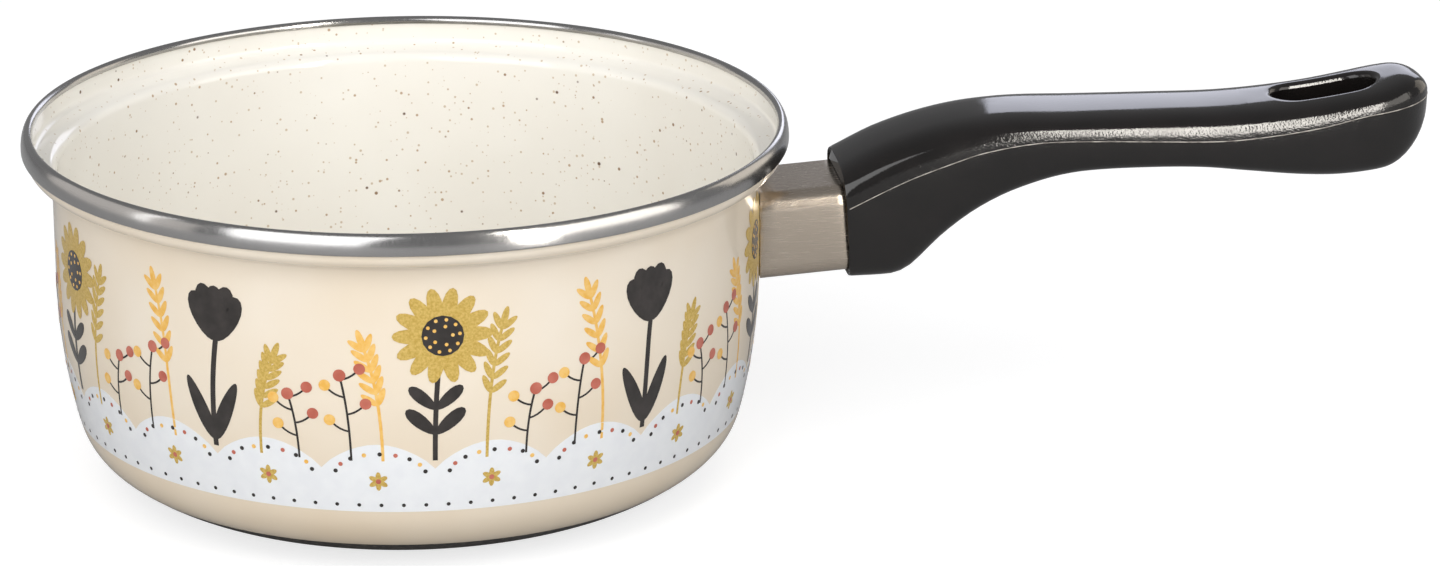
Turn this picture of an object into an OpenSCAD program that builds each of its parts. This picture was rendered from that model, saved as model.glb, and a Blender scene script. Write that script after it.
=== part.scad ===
// Enamelled steel saucepan, about 16 cm across inside, with a metal sleeve and a moulded handle.
// The origin is the middle of the flat base, +Z is up and the handle points along +X.

/* [Vessel] */
// Outside radius of the rim band
rim_r = 87.5; // [75:0.1:105]
// Height of the finished rim above the base
rim_h = 83.9; // [76:0.1:110]
// Overhang of the rim band beyond the pressed steel wall
rim_out = 6.95; // [5:0.05:9]
// Thickness of the pressed steel
steel_t = 0.8; // [0.6:0.1:1]
// Thickness of each fired enamel coat
coat_t = 0.25; // [0.15:0.05:0.35]
// Radius of the shallow curve between the flat base and the corner
base_arc_r = 35.25; // [30:0.25:38]
// Angle through which the shallow base curve turns
base_arc_deg = 38.6; // [37:0.2:44]
// Radius of the tighter corner under the wall
corner_arc_r = 14.75; // [12:0.25:18]
// Lean of the wall where it leaves the corner
wall_lean_deg = 14; // [10:0.5:16]
// Radius of the long curve that brings the wall upright
side_arc_r = 136.75; // [110:0.25:150]
// How far round the base curve the dark base coat reaches
base_coat_deg = 36.5; // [20:0.5:37.5]

/* [Rim] */
// Angle through which the wall turns outwards at the lid ledge
flare_deg = 75; // [65:1:80]
// Radius of the turn where the wall leaves upright
flare_low_r = 1.6; // [1.4:0.1:2]
// Radius of the turn where the lip stands up again
flare_high_r = 2.6; // [2.2:0.1:3]
// Height of the upright lip above the lid ledge, steel only
lip_h = 4.5; // [4:0.1:6]
// Thickness of the rim band's sheet
band_t = 0.4; // [0.3:0.05:0.45]
// Height of the rim band outside, from its top to its foot
band_h = 4.8; // [4.5:0.05:6]
// Height of the rim band inside, from its top to the end of its inner leg
band_inner_h = 1.6; // [1.4:0.05:2]
// Width of the rim band's rounded shoulder, outwards from its top
shoulder_w = 1.6; // [1.3:0.05:1.9]
// Height of the rim band's rounded shoulder
shoulder_h = 3.9; // [3.2:0.1:4.2]
// Outside radius of the turn where the foot of the rim band closes on the lip
foot_turn_r = 0.5; // [0.45:0.05:0.7]
// Gap between the enamelled lip and the rim band
band_gap = 0.05; // [0.03:0.01:0.1]
// Gap between the edge of the lip and the crown of the rim band
crown_gap = 0.45; // [0.3:0.05:0.5]

/* [Bracket] */
// Depth of the handle's axis below the rim, where it meets the wall
lug_drop = 28.5; // [25:0.1:32]
// Rise of the handle's axis away from the wall
tilt_deg = 4; // [2:0.5:6]
// Thickness of the bracket's steel
bracket_t = 2; // [1.5:0.1:2.5]
// Width of the foot that is welded to the wall
foot_w = 24.4; // [23:0.2:24.6]
// Height of the foot that is welded to the wall
foot_h = 15; // [14:0.2:17]
// Width of the bracket's channel
channel_w = 14; // [13:0.2:15]
// Height of the bracket's channel
channel_h = 10; // [9.5:0.1:11]
// Length of the channel from the wall
channel_len = 35.4; // [33:0.1:36.5]
// Diameter of each plug weld
weld_d = 3.6; // [3:0.1:4]
// Distance across between the two columns of plug welds
weld_span_w = 19.2; // [18.8:0.1:19.6]
// Distance up between the two rows of plug welds
weld_span_h = 9; // [8:0.1:10]

/* [Sleeve] */
// Outside width of the sleeve
sleeve_w = 26.4; // [26.2:0.1:26.6]
// Outside height of the sleeve
sleeve_h = 20.6; // [19.8:0.1:21]
// Outside corner radius of the sleeve
sleeve_corner_r = 4; // [3.4:0.1:4.4]
// Thickness of the sleeve's sheet
sleeve_t = 0.6; // [0.4:0.05:0.8]
// Length of sleeve that shows between the wall and the grip
sleeve_show = 19.4; // [17:0.1:21]
// Depth by which the sleeve seats in the grip
sleeve_seat = 1.5; // [1:0.1:2]

/* [Grip] */
// Length of the grip
grip_len = 139; // [125:0.2:160]
// Width of the grip at its front
grip_w = 30; // [29.8:0.1:33]
// Height of the grip's highest point above its underside at the front
grip_h = 43; // [41:0.2:46]
// Depth of the grip's front underside below the sleeve's axis
grip_drop = 12.2; // [11.8:0.1:12.8]
// Rounding around the grip's front face
grip_edge_r = 0.7; // [0.5:0.1:0.8]
// Length over which the tip closes in plan
tip_plan_len = 15; // [12:0.5:18]
// Length over which the tip closes from above
tip_top_len = 8; // [6:0.5:10]
// Length over which the tip closes from below
tip_under_len = 12; // [9:0.5:14]
// Width of the hanging slot
slot_w = 12; // [9:0.2:13]
// Length of the hanging slot
slot_len = 24.4; // [18:0.2:26]
// Distance from the tip to the end of the hanging slot
slot_back = 12.4; // [11:0.2:16]

/* [Screw] */
// Diameter of the screw's thread
screw_d = 5; // [4:0.5:5]
// Length of the screw under its head
screw_len = 12; // [12:0.2:13]
// Distance from the wall to the screw's axis
screw_x = 27; // [26:0.1:28]
// Diameter of the screw's head
head_d = 8.5; // [8:0.1:9]
// Height of the screw's head
head_h = 2.6; // [2:0.1:3]
// Width of the cross recess in the screw's head
recess_w = 1.1; // [0.8:0.1:1.3]
// Span of the cross recess in the screw's head
recess_span = 4.6; // [4:0.1:5]
// Depth of the cross recess in the screw's head
recess_depth = 1.6; // [1:0.1:1.8]
// Diameter of the well that hides the screw's head
well_d = 10.4; // [10:0.1:11]
// Thickness of grip between the well and the socket
well_floor_t = 2.3; // [2:0.1:2.5]
// Outside diameter of the spring washer
washer_d = 8.4; // [8:0.1:9]
// Thickness of the spring washer
washer_t = 1.2; // [1:0.1:1.4]
// Width of the split in the spring washer
washer_split = 0.8; // [0.5:0.1:1]
// Width of the square nut across its flats
nut_w = 8; // [7:0.1:8.4]
// Height of the square nut
nut_h = 4; // [3:0.1:4]

/* [Hidden] */

// Facets of a full turn, and steps along each curve of the wall's outline
$fn = 96;
turn_steps = 10;
side_steps = 14;
// Length by which every cut runs past what it cuts
overrun = 1;

// Running gaps between pieces
socket_gap = 0.3;
seat_gap = 0.2;
wall_gap = 0.15;
thread_gap = 0.05;
shank_gap = 0.25;
window_gap = 0.1;

// Radius of the pressed wall where it stands straight, and height of the handle's axis at the wall
wall_r = rim_r - rim_out;
lug_z = rim_h - lug_drop;

// Heights and radii of the rim, worked out from the band
lip_w = steel_t + 2 * coat_t;
crown_r = lip_w / 2 + band_gap + band_t;
crown_top_r = rim_r - shoulder_w;
lip_r = crown_top_r + steel_t / 2;
lip_top_z = rim_h - band_t - crown_gap;
lip_low_z = lip_top_z - lip_h;
coat_top_z = rim_h - crown_r;
upright_deg = 90;

// Centres of the curves along the outside of the steel, from the base to the lip
wall_turn_deg = upright_deg - wall_lean_deg;
base_flat_r = wall_r - base_arc_r * sin(base_arc_deg)
    - corner_arc_r * (sin(wall_turn_deg) - sin(base_arc_deg)) - side_arc_r * (1 - sin(wall_turn_deg));
base_arc_c = [base_flat_r, coat_t + base_arc_r];
corner_arc_c = base_arc_c + (base_arc_r - corner_arc_r) * [sin(base_arc_deg), -cos(base_arc_deg)];
side_arc_c = corner_arc_c + (corner_arc_r - side_arc_r) * [sin(wall_turn_deg), -cos(wall_turn_deg)];
flare_slant = (lip_r - wall_r - (flare_low_r + flare_high_r) * (1 - cos(flare_deg))) / sin(flare_deg);
flare_rise = (flare_low_r + flare_high_r) * sin(flare_deg) + flare_slant * cos(flare_deg);
flare_low_c = [wall_r + flare_low_r, lip_low_z - flare_rise];
flare_high_c = [lip_r - flare_high_r, lip_low_z];

// Where the handle's axis leaves the wall, and where it meets the grip's front face
lug_x = wall_r + coat_t;
grip_x = lug_x + sleeve_show * cos(tilt_deg);
axis_z = lug_z + sleeve_show * sin(tilt_deg);
grip_low_z = axis_z - grip_drop;

// Socket in the grip, which holds the bracket's channel, and the well under it
socket_w = channel_w + 2 * socket_gap;
socket_h = channel_h + 2 * socket_gap;
socket_len = channel_len + 2 * socket_gap;
well_top = -socket_h / 2 - well_floor_t;
head_top = well_top - washer_t;
nut_top = channel_h / 2 - bracket_t;

// Grip outlines. Each row is a share of the grip's length and a share of its height or width
top_shares = [[0, 0.611], [0.08, 0.738], [0.18, 0.833], [0.28, 0.868], [0.4, 0.865],
    [0.54, 0.863], [0.66, 0.864], [0.78, 0.892], [0.88, 0.939], [0.96, 0.998], [1, 1.019]];
parting_shares = [[0, 0.412], [0.1, 0.561], [0.17, 0.644], [0.23, 0.704], [0.32, 0.744],
    [0.42, 0.741], [0.52, 0.727], [0.63, 0.716], [0.71, 0.733], [0.8, 0.773], [0.88, 0.831],
    [1, 0.878]];
under_shares = [[0, 0], [0.06, 0], [0.085, 0.01], [0.11, 0.054], [0.16, 0.208], [0.21, 0.332],
    [0.26, 0.423], [0.31, 0.485], [0.36, 0.529], [0.41, 0.55], [0.5, 0.556], [0.6, 0.546],
    [0.68, 0.515], [0.77, 0.481], [0.84, 0.472], [0.91, 0.495], [1, 0.563]];
width_shares = [[0, 1], [0.18, 0.98], [0.36, 0.945], [0.55, 0.93], [0.75, 0.935], [1, 0.935]];
// Squareness of a grip section above and below the parting line, where 2 is an ellipse
top_power = 3.2;
under_power = 6;
// Share of its half width by which a section draws in from the parting line to its underside
under_draft_share = 0.03;
// Share of the grip's length over which its sections turn from the sleeve's tilt to upright
square_up_share = 0.25;
// Points around a grip section, and sections along its front edge, its length and its tip
ring_points = 36;
edge_rings = 3;
length_rings = 30;
tip_rings = 9;
tip_end_deg = 87;

// Points along an arc whose outside faces away from its centre, as its heading turns
function arc_out(c, r, from, to, n) =
    [for (i = [0:n]) let(a = from + (to - from) * i / n) c + r * [sin(a), -cos(a)]];

// Points along an oval, by their angle above level
function oval(c, half_w, half_h, from, to) =
    [for (i = [0:turn_steps])
        let(a = from + (to - from) * i / turn_steps)
        c + [half_w * cos(a), half_h * sin(a)]];

// Points along the steel's outline, moved outwards by d, from the base curve to the given height
function wall_line(d, from_deg, top_z) = concat(
    arc_out(base_arc_c, base_arc_r + d, from_deg, base_arc_deg, turn_steps),
    arc_out(corner_arc_c, corner_arc_r + d, base_arc_deg, wall_turn_deg, turn_steps),
    arc_out(side_arc_c, side_arc_r + d, wall_turn_deg, upright_deg, side_steps),
    arc_out(flare_low_c, d - flare_low_r, upright_deg, upright_deg - flare_deg, turn_steps),
    arc_out(flare_high_c, flare_high_r + d, upright_deg - flare_deg, upright_deg, turn_steps),
    [[lip_r + d, top_z]]);

function reversed(list) = [for (i = [len(list) - 1:-1:0]) list[i]];

// A closed layer of the vessel between two offsets of the steel's outline
module layer(outer, inner, top_z) {
    rotate_extrude()
        polygon(concat(
            [[0, coat_t - outer]],
            wall_line(outer, 0, top_z),
            reversed(wall_line(inner, 0, top_z)),
            [[0, coat_t - inner]]));
}

// The part of the outer coat from a heading on the base curve upwards
module side_layer(outer, inner, from_deg, top_z) {
    rotate_extrude()
        polygon(concat(wall_line(outer, from_deg, top_z), reversed(wall_line(inner, from_deg, top_z))));
}

// The part of the outer coat below a heading on the base curve
module base_layer(outer, inner, to_deg) {
    rotate_extrude()
        polygon(concat(
            [[0, coat_t - outer]],
            arc_out(base_arc_c, base_arc_r + outer, 0, to_deg, turn_steps),
            reversed(arc_out(base_arc_c, base_arc_r + inner, 0, to_deg, turn_steps)),
            [[0, coat_t - inner]]));
}

// Frame of the handle: its origin is on the wall, and its +X runs outwards along the handle's axis
module handle_frame() {
    translate([lug_x, 0, lug_z])
        rotate([0, -tilt_deg, 0])
            children();
}

// A box centred across and up on the handle's axis
module axis_box(from_x, to_x, w, h) {
    translate([from_x, -w / 2, -h / 2])
        cube([to_x - from_x, w, h]);
}

// A bar along the handle's axis with rounded long edges
module rounded_bar(from_x, to_x, w, h, r) {
    axis_box(from_x, to_x, w - 2 * r, h);
    axis_box(from_x, to_x, w, h - 2 * r);
    for (side = [-1, 1], level = [-1, 1])
        translate([from_x, side * (w / 2 - r), level * (h / 2 - r)])
            rotate([0, 90, 0])
                cylinder(h = to_x - from_x, r = r);
}

// Places of the plug welds in the foot
module at_welds() {
    for (side = [-1, 1], level = [-1, 1])
        translate([0, side * weld_span_w / 2, level * weld_span_h / 2])
            rotate([0, 90, 0])
                children();
}

// A curved plate that lies on the steel wall
module wall_plate(thickness) {
    rotate_extrude()
        translate([wall_r, lug_z - foot_h])
            square([thickness, 2 * foot_h]);
}

// Height of a smooth curve through a table of places and values
function row_before(table, s, i = 0) =
    i >= len(table) - 2 || s <= table[i + 1][0] ? i : row_before(table, s, i + 1);
function slope_at(table, i) =
    let(a = max(i - 1, 0), b = min(i + 1, len(table) - 1))
    (table[b][1] - table[a][1]) / (table[b][0] - table[a][0]);
function curve(table, s) =
    let(i = row_before(table, s), a = table[i], b = table[i + 1], gap = b[0] - a[0], u = (s - a[0]) / gap)
    (1 + 2 * u) * (1 - u) * (1 - u) * a[1] + u * (1 - u) * (1 - u) * gap * slope_at(table, i)
    + u * u * (3 - 2 * u) * b[1] - u * u * (1 - u) * gap * slope_at(table, i + 1);

// How far a length that closes in a rounded tip has closed at x, from 1 down to 0
function closing(x, length) =
    let(past = (x - (grip_len - length)) / length) past <= 0 ? 1 : sqrt(max(0, 1 - past * past));

// Distances along the grip at which it has a section, with how far the section is drawn in there
edge_step_deg = upright_deg / edge_rings;
body_len = grip_len - grip_edge_r - tip_plan_len;
section_places = concat(
    [for (i = [0:edge_rings])
        [grip_edge_r * (1 - cos(i * edge_step_deg)), grip_edge_r * (1 - sin(i * edge_step_deg))]],
    [for (i = [1:length_rings]) [grip_edge_r + body_len * i / length_rings, 0]],
    [for (i = [1:tip_rings]) [grip_len - tip_plan_len * (1 - sin(tip_end_deg * i / tip_rings)), 0]]);

// A section point at angle a around the parting line, on a rounded oblong
function power_of(v, p) = sign(v) * pow(abs(v), 2 / p);
function section_point(half_w, up, down, a) =
    sin(a) >= 0 ? [half_w * power_of(cos(a), top_power), up * power_of(sin(a), top_power)]
        : [half_w * power_of(cos(a), under_power) * (1 + under_draft_share * power_of(sin(a), under_power)),
            down * power_of(sin(a), under_power)];

// One section of the grip, as points in space
function grip_section(place) =
    let(x = place[0], inset = place[1], s = x / grip_len,
        parting = curve(parting_shares, s) * grip_h,
        up = (curve(top_shares, s) * grip_h - parting) * closing(x, tip_top_len) - inset,
        down = (parting - curve(under_shares, s) * grip_h) * closing(x, tip_under_len) - inset,
        half_w = curve(width_shares, s) * grip_w / 2 * closing(x, tip_plan_len) - inset,
        lean = tan(tilt_deg) * max(0, 1 - s / square_up_share))
    [for (k = [0:ring_points - 1])
        let(p = section_point(half_w, up, down, 360 * k / ring_points), z = grip_low_z + parting + p[1])
        [grip_x + x - (z - axis_z) * lean, p[0], z]];

// Two triangles for each side between neighbouring sections, and a fan at each end
function side_faces(i, k) =
    let(a = i * ring_points + k, b = i * ring_points + (k + 1) % ring_points)
    let(c = a + ring_points, d = b + ring_points)
    [[a, b, c], [b, d, c]];

module grip_body() {
    sections = [for (place = section_places) grip_section(place)];
    last = (len(sections) - 1) * ring_points;
    polyhedron(
        points = [for (section = sections, p = section) p],
        faces = concat(
            [for (i = [0:len(sections) - 2], k = [0:ring_points - 1], face = side_faces(i, k)) face],
            [for (k = [1:ring_points - 2]) [0, k + 1, k]],
            [for (k = [1:ring_points - 2]) [last, last + k, last + k + 1]]));
}

module hanging_slot() {
    slot_from = grip_x + grip_len - slot_back - slot_len;
    slot_h = grip_h + 2 * overrun;
    translate([slot_from + slot_w / 2, -slot_w / 2, grip_low_z])
        cube([slot_len - slot_w, slot_w, slot_h]);
    for (x = [slot_from + slot_w / 2, slot_from + slot_len - slot_w / 2])
        translate([x, 0, grip_low_z])
            cylinder(h = slot_h, d = slot_w);
}

module vessel_shell() {
    color("slategray")
        layer(0, -steel_t, lip_top_z);
}

module inner_enamel() {
    color("ivory")
        layer(-steel_t, -steel_t - coat_t, coat_top_z);
}

module outer_enamel() {
    color("antiquewhite")
        difference() {
            side_layer(coat_t, 0, base_coat_deg, coat_top_z);
            handle_frame()
                axis_box(-foot_w / 2, foot_w / 2, foot_w + 2 * window_gap, foot_h + 2 * window_gap);
        }
}

module base_enamel() {
    color("darkslategray")
        base_layer(coat_t, 0, base_coat_deg);
}

// One skin of the rim band, drawn in by d: round over the crown, down the shoulder and in at the foot
function band_skin(d) = concat(
    oval([crown_top_r, rim_h - crown_r], crown_r - d, crown_r - d, 180, 90),
    oval([crown_top_r, rim_h - shoulder_h], shoulder_w - d, shoulder_h - d, 90, 0),
    oval([rim_r - foot_turn_r, rim_h - band_h + foot_turn_r], foot_turn_r - d, foot_turn_r - d, 0, -90));

module rim_band() {
    leg_r = crown_top_r - crown_r;
    leg_end_z = rim_h - band_inner_h;
    foot_end_r = crown_top_r + lip_w / 2 + band_gap;
    foot_z = rim_h - band_h;
    color("silver")
        rotate_extrude()
            polygon(concat(
                [[leg_r, leg_end_z]],
                band_skin(0),
                [[foot_end_r, foot_z], [foot_end_r, foot_z + band_t]],
                reversed(band_skin(band_t)),
                [[leg_r + band_t, leg_end_z]]));
}

module handle_bracket() {
    color("gray") {
        difference() {
            intersection() {
                wall_plate(bracket_t);
                handle_frame()
                    axis_box(-foot_w / 2, foot_w / 2, foot_w, foot_h);
            }
            handle_frame()
                translate([-foot_w / 2, 0, 0])
                    at_welds()
                        cylinder(h = foot_w, d = weld_d);
        }
        difference() {
            handle_frame()
                difference() {
                    axis_box(-bracket_t, channel_len, channel_w, channel_h);
                    translate([-bracket_t - overrun, bracket_t - channel_w / 2, -channel_h / 2 - overrun])
                        cube([
                            channel_len + bracket_t + 2 * overrun,
                            channel_w - 2 * bracket_t,
                            channel_h - bracket_t + overrun
                        ]);
                    translate([screw_x, 0, 0])
                        cylinder(h = channel_h, d = screw_d + 2 * shank_gap);
                }
            translate([0, 0, lug_z - foot_h])
                cylinder(h = 2 * foot_h, r = wall_r + bracket_t / 2);
        }
    }
}

module bracket_welds() {
    color("dimgray")
        intersection() {
            wall_plate(bracket_t);
            handle_frame()
                translate([-foot_w / 2, 0, 0])
                    at_welds()
                        cylinder(h = foot_w, d = weld_d);
        }
}

module sleeve() {
    hollow_w = sleeve_w - 2 * sleeve_t;
    hollow_h = sleeve_h - 2 * sleeve_t;
    color("silver")
        difference() {
            handle_frame()
                difference() {
                    rounded_bar(-sleeve_h, sleeve_show + sleeve_seat, sleeve_w, sleeve_h, sleeve_corner_r);
                    rounded_bar(-sleeve_h - overrun, sleeve_show + sleeve_seat + overrun, hollow_w, hollow_h,
                        sleeve_corner_r - sleeve_t);
                }
            cylinder(h = rim_h, r = wall_r + coat_t + wall_gap);
        }
}

module grip() {
    color("black")
        difference() {
            grip_body();
            handle_frame() {
                rounded_bar(sleeve_show - sleeve_h, sleeve_show + sleeve_seat + seat_gap,
                    sleeve_w + 2 * seat_gap, sleeve_h + 2 * seat_gap, sleeve_corner_r + seat_gap);
                axis_box(sleeve_show, socket_len, socket_w, socket_h);
                translate([screw_x, 0, -grip_h])
                    cylinder(h = grip_h + well_top, d = well_d);
                translate([screw_x, 0, -grip_h])
                    cylinder(h = grip_h, d = screw_d + 2 * shank_gap);
            }
            hanging_slot();
        }
}

module handle_screw() {
    color("silver")
        handle_frame()
            translate([screw_x, 0, head_top])
                difference() {
                    union() {
                        cylinder(h = screw_len, d = screw_d - 2 * thread_gap);
                        translate([0, 0, -head_h])
                            cylinder(h = head_h, d = head_d);
                    }
                    for (turn = [0, 90])
                        rotate([0, 0, turn])
                            translate([-recess_span / 2, -recess_w / 2, -head_h - overrun])
                                cube([recess_span, recess_w, recess_depth + overrun]);
                }
}

module spring_washer() {
    color("gray")
        handle_frame()
            translate([screw_x, 0, head_top])
                difference() {
                    cylinder(h = washer_t, d = washer_d);
                    translate([0, 0, -overrun])
                        cylinder(h = washer_t + 2 * overrun, d = screw_d + shank_gap);
                    translate([0, -washer_split / 2, -overrun])
                        cube([washer_d, washer_split, washer_t + 2 * overrun]);
                }
}

module square_nut() {
    color("lightgray")
        handle_frame()
            translate([screw_x, 0, nut_top - nut_h])
                difference() {
                    translate([-nut_w / 2, -nut_w / 2, 0])
                        cube([nut_w, nut_w, nut_h]);
                    translate([0, 0, -overrun])
                        cylinder(h = nut_h + 2 * overrun, d = screw_d);
                }
}

vessel_shell();
inner_enamel();
outer_enamel();
base_enamel();
rim_band();
handle_bracket();
bracket_welds();
sleeve();
grip();
handle_screw();
spring_washer();
square_nut();
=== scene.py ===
# %% [markdown]
# An enamelled saucepan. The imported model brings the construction: a pressed steel vessel, its three enamel
# coats, the rim band, the bracket and its fasteners, the sleeve and the grip. This script gives it its looks.
# The visible pieces are modelled again as smooth meshes on the same sizes, because a mesh made for checking
# sizes shows its facets in a mirror finish. The hidden pieces stay as they are and get their own materials.

import math

import bmesh
import bpy
from mathutils import Matrix, Vector


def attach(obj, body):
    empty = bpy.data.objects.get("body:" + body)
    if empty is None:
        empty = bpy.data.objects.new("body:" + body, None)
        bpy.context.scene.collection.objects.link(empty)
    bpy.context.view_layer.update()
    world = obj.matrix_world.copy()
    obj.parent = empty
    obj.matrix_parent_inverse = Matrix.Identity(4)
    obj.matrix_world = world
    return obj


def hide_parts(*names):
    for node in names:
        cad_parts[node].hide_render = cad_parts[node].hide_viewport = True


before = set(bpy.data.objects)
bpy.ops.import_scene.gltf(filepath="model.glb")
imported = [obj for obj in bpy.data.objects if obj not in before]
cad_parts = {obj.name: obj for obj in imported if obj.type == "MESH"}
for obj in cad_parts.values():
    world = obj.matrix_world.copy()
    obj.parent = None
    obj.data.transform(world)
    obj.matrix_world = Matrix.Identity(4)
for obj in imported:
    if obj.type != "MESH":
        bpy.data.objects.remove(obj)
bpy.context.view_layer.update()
MM = 0.001

# %% [markdown]
# Every piece is drawn in millimetres and made metres at the end, so that the numbers read as on a drawing.
# A finished mesh gets smooth shading, with sharp edges only where two faces meet at a steep angle. That is
# what a bevelled or rolled metal edge looks like, and it keeps a mirror finish free of facets. A piece with
# a skin that no single operator makes starts as a grid, and its rows of points are then laid in their places.

# %% Helpers for pieces
SMOOTH_ANGLE_DEG = 38
WELD_GAP = 1e-4
SORT_DIGITS = 6


def finish_piece(bm, name, material, body_slot, *nodes, sharp_deg=SMOOTH_ANGLE_DEG, outwards=True):
    """Turns a bmesh in millimetres into a piece of the model."""
    if outwards:
        bmesh.ops.recalc_face_normals(bm, faces=bm.faces)
    bmesh.ops.scale(bm, vec=(MM, MM, MM), verts=bm.verts)
    mesh = bpy.data.meshes.new(name)
    bm.to_mesh(mesh)
    bm.free()
    mesh.shade_smooth()
    mesh.set_sharp_from_angle(angle=math.radians(sharp_deg))
    mesh.materials.append(material)
    piece = bpy.data.objects.new(name, mesh)
    bpy.context.scene.collection.objects.link(piece)
    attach(piece, "root")
    if nodes:
        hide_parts(*nodes)
    print(f"{name}: {len(mesh.vertices)} points, {len(mesh.polygons)} faces")
    return piece


def skin(bm, rows):
    """Lays a grid of faces through rows of points. All rows have the same number of points."""
    columns = len(rows[0])
    grid = bmesh.ops.create_grid(bm, x_segments=columns - 1, y_segments=len(rows) - 1, size=1)
    by_row = sorted(grid["verts"], key=lambda v: (round(v.co.y, SORT_DIGITS), round(v.co.x, SORT_DIGITS)))
    for vert, place in zip(by_row, (point for row in rows for point in row)):
        vert.co = place


def weld(bm, gap=WELD_GAP):
    """Joins points that lie on each other, which closes seams and poles."""
    bmesh.ops.remove_doubles(bm, verts=bm.verts, dist=gap)


print("edges stay sharp above", SMOOTH_ANGLE_DEG, "degrees, points weld within", WELD_GAP, "mm")

# %% [markdown]
# A material is a small graph of nodes. One helper adds a node, sets its values and joins its inputs, so that
# each material reads from top to bottom in the order in which the colour and the surface are made up. No real
# surface is one even colour, so most materials start from a mottle: a noise that is sized in millimetres and
# turned to colour by a ramp. A flat colour would be simpler, and would look like plastic at once.

# %% Helpers for materials
def linear(hex_colour):
    """An sRGB colour such as E6D8C3, as linear red, green, blue and alpha."""
    channels = [int(hex_colour[i:i + 2], 16) / 255 for i in (0, 2, 4)]
    return [c / 12.92 if c <= 0.04045 else ((c + 0.055) / 1.055) ** 2.4 for c in channels] + [1.0]


def add(owner, kind, settings=None, inputs=None, stops=()):
    """Adds one node to a material or world. An input is a value, or another node's output to be linked.

    The stops of a colour ramp are places from 0 to 1, each with a hex colour."""
    node = owner.node_tree.nodes.new("ShaderNode" + kind)
    for key, value in (settings or {}).items():
        setattr(node, key, value)
    for key, value in (inputs or {}).items():
        if isinstance(value, bpy.types.NodeSocket):
            owner.node_tree.links.new(value, node.inputs[key])
        else:
            node.inputs[key].default_value = value
    for i, (place, colour) in enumerate(stops):
        stop = node.color_ramp.elements[i] if i < 2 else node.color_ramp.elements.new(place)
        stop.position = place
        stop.color = linear(colour)
    return node


def start_material(name, **shader_inputs):
    """A material with an empty graph but for its output and one Principled shader."""
    material = bpy.data.materials.new(name)
    material.use_nodes = True
    material.node_tree.nodes.clear()
    named_inputs = {key.replace("_", " "): value for key, value in shader_inputs.items()}
    shader = add(material, "BsdfPrincipled", inputs=named_inputs)
    add(material, "OutputMaterial", inputs={"Surface": shader.outputs["BSDF"]})
    return material, shader


def join(material, output, socket):
    """Links a node's output to an input of the material's shader."""
    material.node_tree.links.new(output, socket)


def mottle(material, grain_mm, stops, detail=2.0):
    """A noise with grains of a real size on the piece, as a colour and as a factor."""
    place = add(material, "TexCoord").outputs["Object"]
    grain = add(material, "TexNoise", inputs={
        "Vector": place, "Scale": 1 / (grain_mm * MM), "Detail": detail})
    colour = add(material, "ValToRGB", inputs={"Fac": grain.outputs["Fac"]}, stops=stops)
    return colour.outputs["Color"], grain.outputs["Fac"]


print("mid grey in linear light:", round(linear("808080")[0], 3))

# %% [markdown]
# The photographer stood in front of the pan and a little above it, a long way off for its size, so the rim is
# a flat ellipse and lines stay nearly parallel. The camera could be moved by eye until the picture fits. Here
# it is placed from five facts: how far off it is, how steeply it looks down, how much it leans, where the
# middle of the rim is in the picture, and at what scale. The handle points a little away from the camera.

# %% Camera
IMAGE_W, IMAGE_H = 1440, 566
PIXELS_PER_MM_AT_RIM = 4.3614
CAMERA_DISTANCE = 1111.1
CAMERA_ABOVE_DEG = 16.868
CAMERA_LEAN_DEG = 1.049
RIM_CENTRE_PX = (406.45, 128.57)
RIM_CENTRE_Z = 81.13
HANDLE_AWAY_DEG = 3.5
SENSOR_W = 36

above, lean = math.radians(CAMERA_ABOVE_DEG), math.radians(CAMERA_LEAN_DEG)
focal_px = PIXELS_PER_MM_AT_RIM * CAMERA_DISTANCE
ahead = Vector((0, math.cos(above), -math.sin(above)))
level_axes = Matrix(((1, 0, 0), (0, math.sin(above), math.cos(above)), ahead))
aim = Vector(((RIM_CENTRE_PX[0] - IMAGE_W / 2) / focal_px, (IMAGE_H / 2 - RIM_CENTRE_PX[1]) / focal_px, 1))
turn_to_aim = Vector((0, 0, 1)).rotation_difference(aim.normalized()).to_matrix()
camera_axes = turn_to_aim @ Matrix.Rotation(lean, 3, "Z") @ level_axes
stand = Vector((0, 0, RIM_CENTRE_Z)) - CAMERA_DISTANCE * ahead
turn_handle = Matrix.Rotation(-math.radians(HANDLE_AWAY_DEG), 4, "Z")
camera_columns = Matrix((camera_axes[0], camera_axes[1], -camera_axes[2])).transposed().to_4x4()
camera_columns.translation = stand * MM

camera_data = bpy.data.cameras.new("camera")
camera_data.sensor_width = SENSOR_W
camera_data.lens = focal_px * SENSOR_W / IMAGE_W
camera = bpy.data.objects.new("camera", camera_data)
camera.matrix_world = turn_handle @ camera_columns
bpy.context.scene.collection.objects.link(camera)
bpy.context.scene.camera = camera
print("camera at", [round(c, 3) for c in camera.matrix_world.translation], "lens", round(camera_data.lens, 1))

# %% [markdown]
# The set is white paper under soft boxes, the way a catalogue photo is lit. One even dome of light would be
# simpler, but steel would show no shape in it. Steel, enamel and moulded resin show what stands round them,
# so some lamps are there to be mirrored. A broad box at the front left and a narrow strip at the left give
# the rim its bright patches, and the level top of the grip mirrors a low box behind the handle. Three fills
# light the enamel evenly, and no piece mirrors them. Four cards are mirrored in the steel and along the
# grip's shoulder, and light no piece. To the camera the world is pure white, and the paper is lifted so near
# to white that only a weak shadow is left. Shiny pieces see hardly any of that white. They mirror the lit
# paper and a grey room, as real steel in front of a photographer does.

# %% White for the eye
PAPER_LIFT, PAPER_LIFT_IN_GLOSS = 0.72, 0.04
WORLD_LIFT, WORLD_LIFT_IN_GLOSS = 1.0, 0.05


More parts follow.
